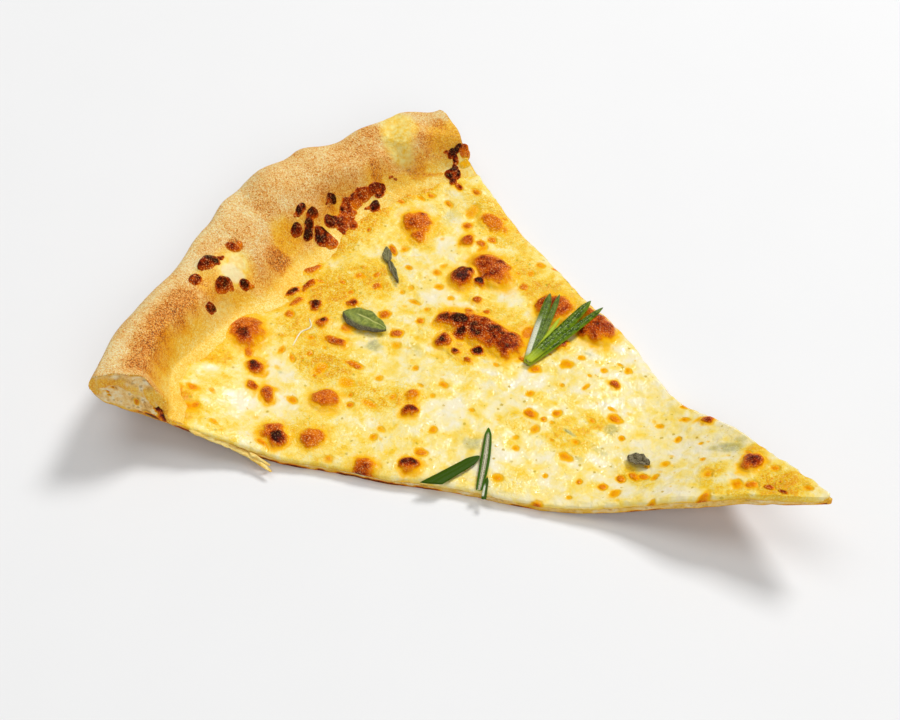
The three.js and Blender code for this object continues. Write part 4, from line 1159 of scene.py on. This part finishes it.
def along_surface(u, w, at_s, at_y):
    """Offsets (u, w) in plan from a place, measured along the food's slope there instead."""
    step = SLOPE_STEP
    down_s = (food_top(at_s + step, at_y) - food_top(at_s - step, at_y)) / (2 * step)
    down_y = (food_top(at_s, at_y + step) - food_top(at_s, at_y - step)) / (2 * step)
    rise = down_s * u + down_y * w
    first = np.array([1, 0, down_s]) / math.hypot(1, down_s)
    second = np.cross([-down_s, -down_y, 1], first)
    second = second / np.linalg.norm(second)
    return u * first[0] + rise * first[2], u * second[0] + w * second[1] + rise * second[2]


def drops_piece():
    """All the beads and crusts, as one closed sheet over a fine grid. Each is a dome of
    height (1 - d^2)^0.5 on the food. Overlapping domes are added up as log(sum of e^5z) / 5, so
    that they run together, and edges are paler. Squares that none reaches are left out, and the
    sheet's underside is sunk into the food."""
    table = np.array(DROPS)
    low, high = table[:, :2].min(0) - 4, table[:, :2].max(0) + 4
    steps = [np.arange(low[k], high[k], DROP_STEP) for k in (0, 1)]
    s, y = np.meshgrid(*steps, indexing="ij")
    total, brown = np.full(s.shape, 1e-6), np.full(s.shape, 0.5e-6)
    uneven = 0.12 * mottle(s, y, 1.6, 131) + 0.07 * mottle(s, y, 0.8, 132)
    warp_s, warp_y = 0.4 * mottle(s, y, 1.9, 137), 0.4 * mottle(s, y, 1.9, 138)
    for at_s, at_y, half_a, half_b, turn, height, tone in DROPS:
        u, w = along_surface(s + warp_s - at_s, y + warp_y - at_y, at_s, at_y)
        a, b = ellipse(u, w, 0, 0, half_a, half_b, turn)
        d = np.sqrt(a * a + b * b) + uneven * min(1, 1.2 / math.sqrt(half_a * half_b))
        dome = 1.2 * height * np.sqrt(np.clip(1 - d * d, 0, 1)) - 3 * ease(d, 0.98, 1.8)
        weight = np.exp(5 * dome)
        total = total + weight
        brown = brown + weight * (tone + 0.02 - 0.24 * ease(d, 0.75, 1.0))
    rise, brown = np.log(total) / 5, brown / total
    rise = rise + 0.16 * mottle(s, y, 1.0, 133) * ease(rise, 0, 0.5)
    brown = brown + 0.1 * mottle(s, y, 1.3, 135)
    squares = grid(*s.shape)
    used, upper = np.unique(squares[(rise > -0.5).ravel()[squares].all(1)], return_inverse=True)
    upper = upper.reshape(-1, 4)
    edges = np.concatenate([upper[:, [k, (k + 1) % 4]] for k in range(4)])
    _, first, uses = np.unique(np.sort(edges, 1), axis=0, return_index=True, return_counts=True)
    a, b = edges[first[uses == 1]].T
    s, y, rise = s.ravel()[used], y.ravel()[used], rise.ravel()[used]
    ground = food_top(s, y)
    points = [np.stack([s, y, ground + up], -1) for up in (rise, -DROP_SINK)]
    more = len(used)
    faces = [upper, upper[:, ::-1] + more, np.stack([b, a, a + more, b + more], -1)]
    tone = np.clip(np.tile(brown.ravel()[used], 2), 0, 1)
    values = {"browned": tone, "golden": 0 * tone + 0.6, "sunk": 0 * tone, "crisp": 0 * tone + 1}
    build("baked_drops", np.concatenate(points), faces, values, melted, "melted_cheese",
          ["cheese"])


def string_piece():
    """A thin string of cheese: a tube that lies on the surface along its path."""
    plan, side = along_path(STRING_PATH, STRING_ROWS)
    s, y = plan.T
    t = np.linspace(0, 1, STRING_ROWS)
    wide = STRING_HALF_WIDTH * np.clip(np.minimum(t, 1 - t) * 10, 0.02, 1) ** 0.5
    centre = np.column_stack([s, y, food_top(s, y) + 0.1])
    values = {"browned": 0.0, "golden": -0.2, "sunk": 0.0, "crisp": 0.0}
    string = [(tube(centre, side, wide, wide, STRING_AROUND), values)]
    build("cheese_string", *join(string, ring_faces), melted, "melted_cheese", ["cheese"])


drops_piece()
string_piece()

# ---- Rosemary -----------------------------------------------------------------------------
# Fresh needles: thick, narrow, dark green and waxy on top with a groove down the middle, the
# edges rolled under, and a pale felted underside with a raised midrib.

SPRIG_BASE = (112.4, 13.2)
SPRIG_NEEDLES = (
    {"tip": (122.3, 42.8), "width": 3.6, "roll": -12, "silver": 1, "olive": 0.5},
    {"tip": (119.1, 43.6), "width": 2.5, "rise": 0.4, "olive": 0.8},
    {"tip": (114.1, 36.1), "width": 1.7, "lift": 0.5, "rise": 0.6, "lime": 1},
    {"tip": (109.1, 47.2), "width": 4.0, "lift": 0.8, "rise": 0.6},
    {"tip": (104.2, 47), "width": 3.0, "lift": -0.1},
)
NEEDLE_ROWS = 56
NEEDLE_AROUND = 36
# How far to each side a needle feels the food, and how far its middle lies over it.
NEEDLE_REACH = 1.2
NEEDLE_RAISE = 0.55


def needle_upper(x):
    """Height of a needle's upper face at x across it, in half widths, and its groove's depth."""
    return 0.5 * np.clip(1 - x * x, 0, 1) ** 0.6, 0.17 * np.exp(-((x / 0.13) ** 2))


def needle_under(x):
    """How far its underside stands out: two rolled edges and a midrib with hollows between."""
    rolled = 0.36 * np.exp(-(((np.abs(x) - 0.74) / 0.17) ** 2))
    return (rolled + 0.24 * np.exp(-((x / 0.1) ** 2)) + 0.06) * np.clip(1 - x * x, 0, 1) ** 0.3


def lay(base, tip, along, across, height, reach):
    """Points of a stiff straight leaf from base to tip, at shares along it, and at distances
    across it and over its line. The line bridges the bumps below it: a parabola fitted to the
    food's highest points within reach of it, and lifted onto them."""
    way = np.subtract(tip, base)
    side = np.array([-way[1], way[0]]) / np.hypot(*way)
    t = np.linspace(0, 1, len(height))
    s, y = (base[k] + way[k] * t[:, None, None] for k in (0, 1))
    near = np.linspace(-reach, reach, 5)
    high = food_top(s + near[None, :, None], y + near[None, None, :]).max((1, 2))
    fit = np.polyval(np.polyfit(t, high, 2), t)
    fit = fit + max(0, np.max(high - fit) - 0.5)
    s, y = (base[k] + way[k] * along + side[k] * across for k in (0, 1))
    return np.stack([s, y, fit[:, None] + height], -1)


def needle_rows(base, tip, width, lift=0.0, rise=0.0, roll=0, flipped=0, slant=0.0, olive=0.0,
                lime=0.0, bow=0.0, stub=0.0, silver=0.0):
    """One needle: closed rows of points from base to tip, and its values. Its half width is
    0.3 + 0.7 sin(pi(0.08 + 0.9t))^0.55 of the full one, or with stub 1 - 0.3t, and closes with
    a root at both ends."""
    t = np.linspace(0, 1, NEEDLE_ROWS)[:, None]
    a = turns(NEEDLE_AROUND)
    swollen = 0.3 + 0.7 * np.sin(math.pi * np.clip(0.08 + 0.9 * t, 0, 1)) ** 0.55
    opening = np.clip(t / 0.02, 0, 1) ** 0.5
    close = opening * np.clip((1 - t) / blend(0.1, 0.2, stub), 0, 1) ** 0.5
    half = 0.5 * width * blend(swollen, 1 - 0.3 * t, stub) * close
    x = np.cos(a)
    domed, groove = needle_upper(x)
    upper, under = (domed - groove) * (1 - 0.5 * stub), needle_under(x) * (1 - 0.8 * stub)
    if flipped:
        face = np.where(np.sin(a) >= 0, under, -upper)
    else:
        face = np.where(np.sin(a) >= 0, upper, -under)
    c, n = math.cos(math.radians(roll)), math.sin(math.radians(roll))
    across, up = half * (x * c - face * n), half * (face * c + x * n)
    shift = slant * x * opening * (1 - t) ** 3 / math.dist(base, tip)
    height = NEEDLE_RAISE - 0.2 * stub + lift + rise * t**2 + up
    points = lay(base, tip, t + shift, across + bow * 4 * t * (1 - t), height, NEEDLE_REACH)
    return points, {
        "across": x,
        "along": t,
        "felt": np.sin(a) >= 0 if flipped else np.sin(a) < 0,
        "plain": stub,
        "olive": olive,
        "lime": blend(ease(t, 0.26, 0.03), lime, lime > 0) * (1 - stub),
        "silver": silver * ease(t, 0.08, 0.18) * ease(t, 0.72, 0.5) * ease(x, 0.02, -0.12)
        * ease(np.sin(a), -0.5, -0.2),
    }


def rosemary_material():
    """Waxy green needles: lime at the base and along the edges, with a whitish painted highlight
    beside the groove. The underside is pale grey felt with a cream midrib and green edges."""
    material, tree, shader, place = new_material("rosemary_leaf")
    fine = grain(tree, place, 0.3, 2)
    across = maths(tree, "ABSOLUTE", value_of(tree, "across"))
    along, plain = value_of(tree, "along"), value_of(tree, "plain")
    # Painted highlight: whitish specks painted beside the groove.
    painted_sheen = maths(tree, "ABSOLUTE", maths(tree, "SUBTRACT", across, 0.3))
    painted_sheen = times(tree, spread(tree, painted_sheen, 0, 0.22, 1, 0), spread(tree, fine, 0.56, 0.66),
                  spread(tree, plain, 0, 1, 0.8, 0.0))
    olive = times(tree, value_of(tree, "olive"), spread(tree, fine, 0.3, 0.7))
    edge = maths(tree, "SUBTRACT", across, times(tree, along, 0.12))
    edge = times(tree, spread(tree, edge, 0.7, 0.92), spread(tree, plain, 0, 1, 0.7, 0.0))
    silver = times(tree, value_of(tree, "silver"), spread(tree, fine, 0.3, 0.55, 0.5, 1))
    green = tones(tree, grain(tree, place, 1.2, 2), 0.38, 0.62, (50, 76, 0), (100, 128, 14))
    green = coats(tree, green, [
        (plain, (52, 80, 0)),
        (painted_sheen, (226, 232, 200)),
        (olive, (112, 124, 64)),
        (edge, (138, 164, 28)),
        (times(tree, value_of(tree, "lime"), 0.85), (184, 200, 48)),
        (silver, (222, 224, 198)),
    ])
    felt = tones(tree, fine, 0.4, 0.6, (116, 112, 78), (184, 178, 150))
    felt = coats(tree, felt, [
        (spread(tree, across, 0.04, 0.12, 0.9, 0), (224, 216, 184)),
        (spread(tree, across, 0.38, 0.5), (58, 96, 8)),
        (spread(tree, along, 0.86, 0.92), (62, 104, 4)),
    ])
    set_inputs(tree, shader, {
        "Base Color": mix(tree, value_of(tree, "felt"), green, felt),
        "Roughness": 0.4,
        "Specular IOR Level": 0.08,
        "Normal": bump(tree, 0.5, 0.2, fine),
    })
    return material


rosemary = rosemary_material()


def needles_piece(name, needles):
    """One piece of one or more needles."""
    rows = join([needle_rows(**one) for one in needles], ring_faces)
    build(name + "_needles", *rows, rosemary, "rosemary", [name])


needles_piece("rosemary_sprig", [{"base": SPRIG_BASE, **one} for one in SPRIG_NEEDLES])
needles_piece("rosemary_needle_dark", [
    {"base": (109.2, -45.6), "tip": (102.7, -28), "width": 4.7, "slant": 2.8, "stub": 1,
     "lift": 0.5},
])
needles_piece("rosemary_needle_pale", [
    {"base": (95.3, -39.6), "tip": (107, -16.8), "width": 3.0, "lift": 0.4, "flipped": 1,
     "bow": 0.5},
    {"base": (92.6, -40.9), "tip": (96, -33.8), "width": 1.6, "lift": 0.4, "stub": 1,
     "silver": 1},
])

# ---- Soft herbs ---------------------------------------------------------------------------
# Oregano and thyme leaves: thin, matt, and shrivelled a little by the heat. Each lies on the
# cheese by its own weight, with its tip a little raised.

LEAF_ROWS = 60
LEAF_AROUND = 48
LEAF_THICKNESS = 0.42
LEAF_VEINS = 5
LEAF_RAISE = 0.45


def leaf_rows(base, tip, width, fold=0.25, curl=0.6, dry=0.0, rib=0.0, tilt=0.0):
    """One leaf: closed rows of points, and its values. Its half width is
    0.12 + 0.88 sin(pi t^0.85)^0.8 of the full one and closes at both ends. It is folded up along
    its midrib, and puffed between sunken side veins that run forwards."""
    t = np.linspace(0, 1, LEAF_ROWS)[:, None]
    a = turns(LEAF_AROUND)
    x = np.cos(a)
    half = 0.5 * width * (0.12 + 0.88 * np.sin(math.pi * t**0.85) ** 0.8)
    half = half * np.clip(t / 0.05, 0, 1) ** 0.5 * np.clip((1 - t) / 0.04, 0, 1) ** 0.6
    half = half * (1 + 0.05 * np.sin(t * 21 + 3 * np.sign(x)))
    off = np.abs(x - rib)
    step = (t - 0.28 * off) * LEAF_VEINS
    vein = np.exp(-(((step - np.floor(step) - 0.5) / 0.13) ** 2)) * ease(off, 0, 0.2)
    midrib = np.exp(-((off / 0.09) ** 2))
    puff = 0.22 * (1 - vein) * (1 - midrib) * np.clip(1 - x * x, 0, 1) ** 0.5 * (1 + dry)
    wave = fold * half * off + 0.12 * np.sin(9 * t + 2 * x) + dry * 0.14 * np.sin(17 * t - 5 * x)
    up = wave + puff - tilt * half * x + LEAF_THICKNESS * np.sin(a) * np.clip(half * 2, 0, 1)
    points = lay(base, tip, t, half * x, LEAF_RAISE + curl * t * t + up, width * 0.3)
    return points, {
        "vein": np.maximum(0.55 * vein, midrib * ease(t, 0.1, 0.35)), "across": x, "dry": dry,
    }


def soft_herb_material():
    """Matt grey green leaf with paler veins, and painted shade: darker and browner down one side,
    the side that the oregano leaf tilts down to. Dried leaves are grey brown, with painted
    shade darker along their sunken veins and midrib, and dark mottling."""
    material, tree, shader, place = new_material("soft_leaf")
    fine = grain(tree, place, 0.35, 3)
    vein = value_of(tree, "vein")
    fresh = tones(tree, grain(tree, place, 1.3, 3), 0.36, 0.64, (96, 112, 30), (146, 156, 60))
    # Painted shade: the leaf's lower, downturned side is painted darker and browner.
    painted_side_shade = tones(tree, fine, 0.4, 0.62, (44, 40, 16), (112, 104, 66))
    side = spread(tree, plus(tree, value_of(tree, "across"), times(tree, fine, 0.3)), 0.5, 0.78)
    fresh = coats(tree, mix(tree, side, fresh, painted_side_shade), [
        (spread(tree, vein, 0.5, 0.9), (206, 206, 120)),
    ])
    # Painted shade: dried leaves are painted darker along their sunken veins and midrib.
    dried = tones(tree, vein, 0.2, 0.8, (146, 134, 100), (72, 60, 34))
    dried = mix(tree, spread(tree, fine, 0.4, 0.58), paint(66, 56, 30), dried)
    set_inputs(tree, shader, {
        "Base Color": mix(tree, value_of(tree, "dry"), fresh, dried),
        "Roughness": 0.55,
        "Specular IOR Level": 0.4,
        "Normal": bump(tree, 0.6, 0.2, fine),
    })
    return material


soft_herb = soft_herb_material()


def leaves_piece(name, leaves):
    """One piece of one or more leaves."""
    rows = join([leaf_rows(**one) for one in leaves], ring_faces)
    build(name + "_blades", *rows, soft_herb, "soft_herb", [name])


leaves_piece("oregano_leaf", [
    {"base": (176.1, -1.1), "tip": (158.5, -0.7), "width": 8.2, "rib": -0.35, "tilt": 0.25},
])
leaves_piece("thyme_sprig", [
    {"base": (178.2, 26.8), "tip": (183, 33), "width": 3.3, "curl": 0.2, "dry": 0.75},
    {"base": (179, 28.4), "tip": (169, 20.6), "width": 2.1, "curl": 0.3, "dry": 0.85, "fold": 0.5},
])
leaves_piece("thyme_leaf", [
    {"base": (64.8, -2.9), "tip": (56.6, -3.5), "width": 4.7, "fold": 0.4, "curl": 0.2, "dry": 1.0},
])

# ---- Floor, light and camera ----------------------------------------------------------
# A plain pale table, a large soft window light from behind on the right, softer ones overhead
# and on the near side, an even sky, and the camera to the right of the slice, looking down at
# 46 degrees.

FLOOR_HALF = 3.0
# Square lights: name, azimuth and elevation in degrees, distance and size in m, watts.
LIGHTS = (
    ("window", 85, 50, 2.6, 0.7, 45),
    ("ceiling", 180, 76, 2.6, 1.6, 18),
    ("near_fill", -40, 40, 2.6, 1.6, 23),
)
SKY_STRENGTH = 0.2
CAMERA_PLACE = (220.73, -336.40, 431.36)
CAMERA_AZIMUTH = math.radians(35.377)
CAMERA_ELEVATION = math.radians(46.011)
CAMERA_ROLL = math.radians(-0.793)
FOCAL_LENGTH = 72.94
SENSOR_WIDTH = 36.0


def floor_piece():
    """A flat pale square at the height of the slice's underside."""
    mesh = bpy.data.meshes.new("floor")
    ring = [(-1, -1), (1, -1), (1, 1), (-1, 1)]
    mesh.from_pydata([(x * FLOOR_HALF, y * FLOOR_HALF, 0) for x, y in ring], [], [(0, 1, 2, 3)])
    material, tree, shader, place = new_material("pale_table")
    shade = mix(tree, grain(tree, place, 40, 2), (0.8, 0.8, 0.8, 1), (0.815, 0.815, 0.815, 1))
    set_inputs(tree, shader, {"Base Color": shade, "Roughness": 0.9, "Specular IOR Level": 0.1})
    mesh.materials.append(material)
    floor = bpy.data.objects.new("floor", mesh)
    bpy.context.scene.collection.objects.link(floor)


def soft_light(name, azimuth, elevation, distance, size, watts):
    """A square light that looks at the slice from an azimuth (0 from +X, 90 from +Y)."""
    lamp = bpy.data.lights.new(name, "AREA")
    lamp.size = size
    lamp.energy = watts
    a, e = math.radians(azimuth), math.radians(elevation)
    way = Vector((math.cos(a) * math.cos(e), math.sin(a) * math.cos(e), math.sin(e)))
    holder = bpy.data.objects.new(name, lamp)
    holder.location = way * distance
    holder.rotation_mode = "QUATERNION"
    holder.rotation_quaternion = way.to_track_quat("Z", "Y")
    bpy.context.scene.collection.objects.link(holder)


def camera():
    """Right = the level right turned by the roll towards up, and so on for up; the camera
    looks along minus its own Z."""
    az, el = CAMERA_AZIMUTH, CAMERA_ELEVATION
    forward = np.array([-math.sin(az) * math.cos(el), math.cos(az) * math.cos(el), -math.sin(el)])
    level = np.array([math.cos(az), math.sin(az), 0])
    over = np.cross(level, forward)
    right = math.cos(CAMERA_ROLL) * level + math.sin(CAMERA_ROLL) * over
    above = math.cos(CAMERA_ROLL) * over - math.sin(CAMERA_ROLL) * level
    lens = bpy.data.cameras.new("camera")
    lens.lens = FOCAL_LENGTH
    lens.sensor_width = SENSOR_WIDTH
    lens.sensor_fit = "HORIZONTAL"
    lens.clip_start = 0.01
    matrix = np.eye(4)
    matrix[:3, :3] = np.stack([right, above, -forward], 1)
    matrix[:3, 3] = np.array(CAMERA_PLACE) * MM
    holder = bpy.data.objects.new("camera", lens)
    holder.matrix_world = Matrix(matrix.tolist())
    bpy.context.scene.collection.objects.link(holder)
    bpy.context.scene.camera = holder


def sky():
    """An even white surround."""
    world = bpy.data.worlds.new("surround")
    world.use_nodes = True
    background = world.node_tree.nodes["Background"]
    set_inputs(world.node_tree, background, {"Color": (1, 1, 1, 1), "Strength": SKY_STRENGTH})
    bpy.context.scene.world = world


floor_piece()
for light in LIGHTS:
    soft_light(*light)
sky()
camera()
bpy.context.scene.view_settings.view_transform = "Standard"
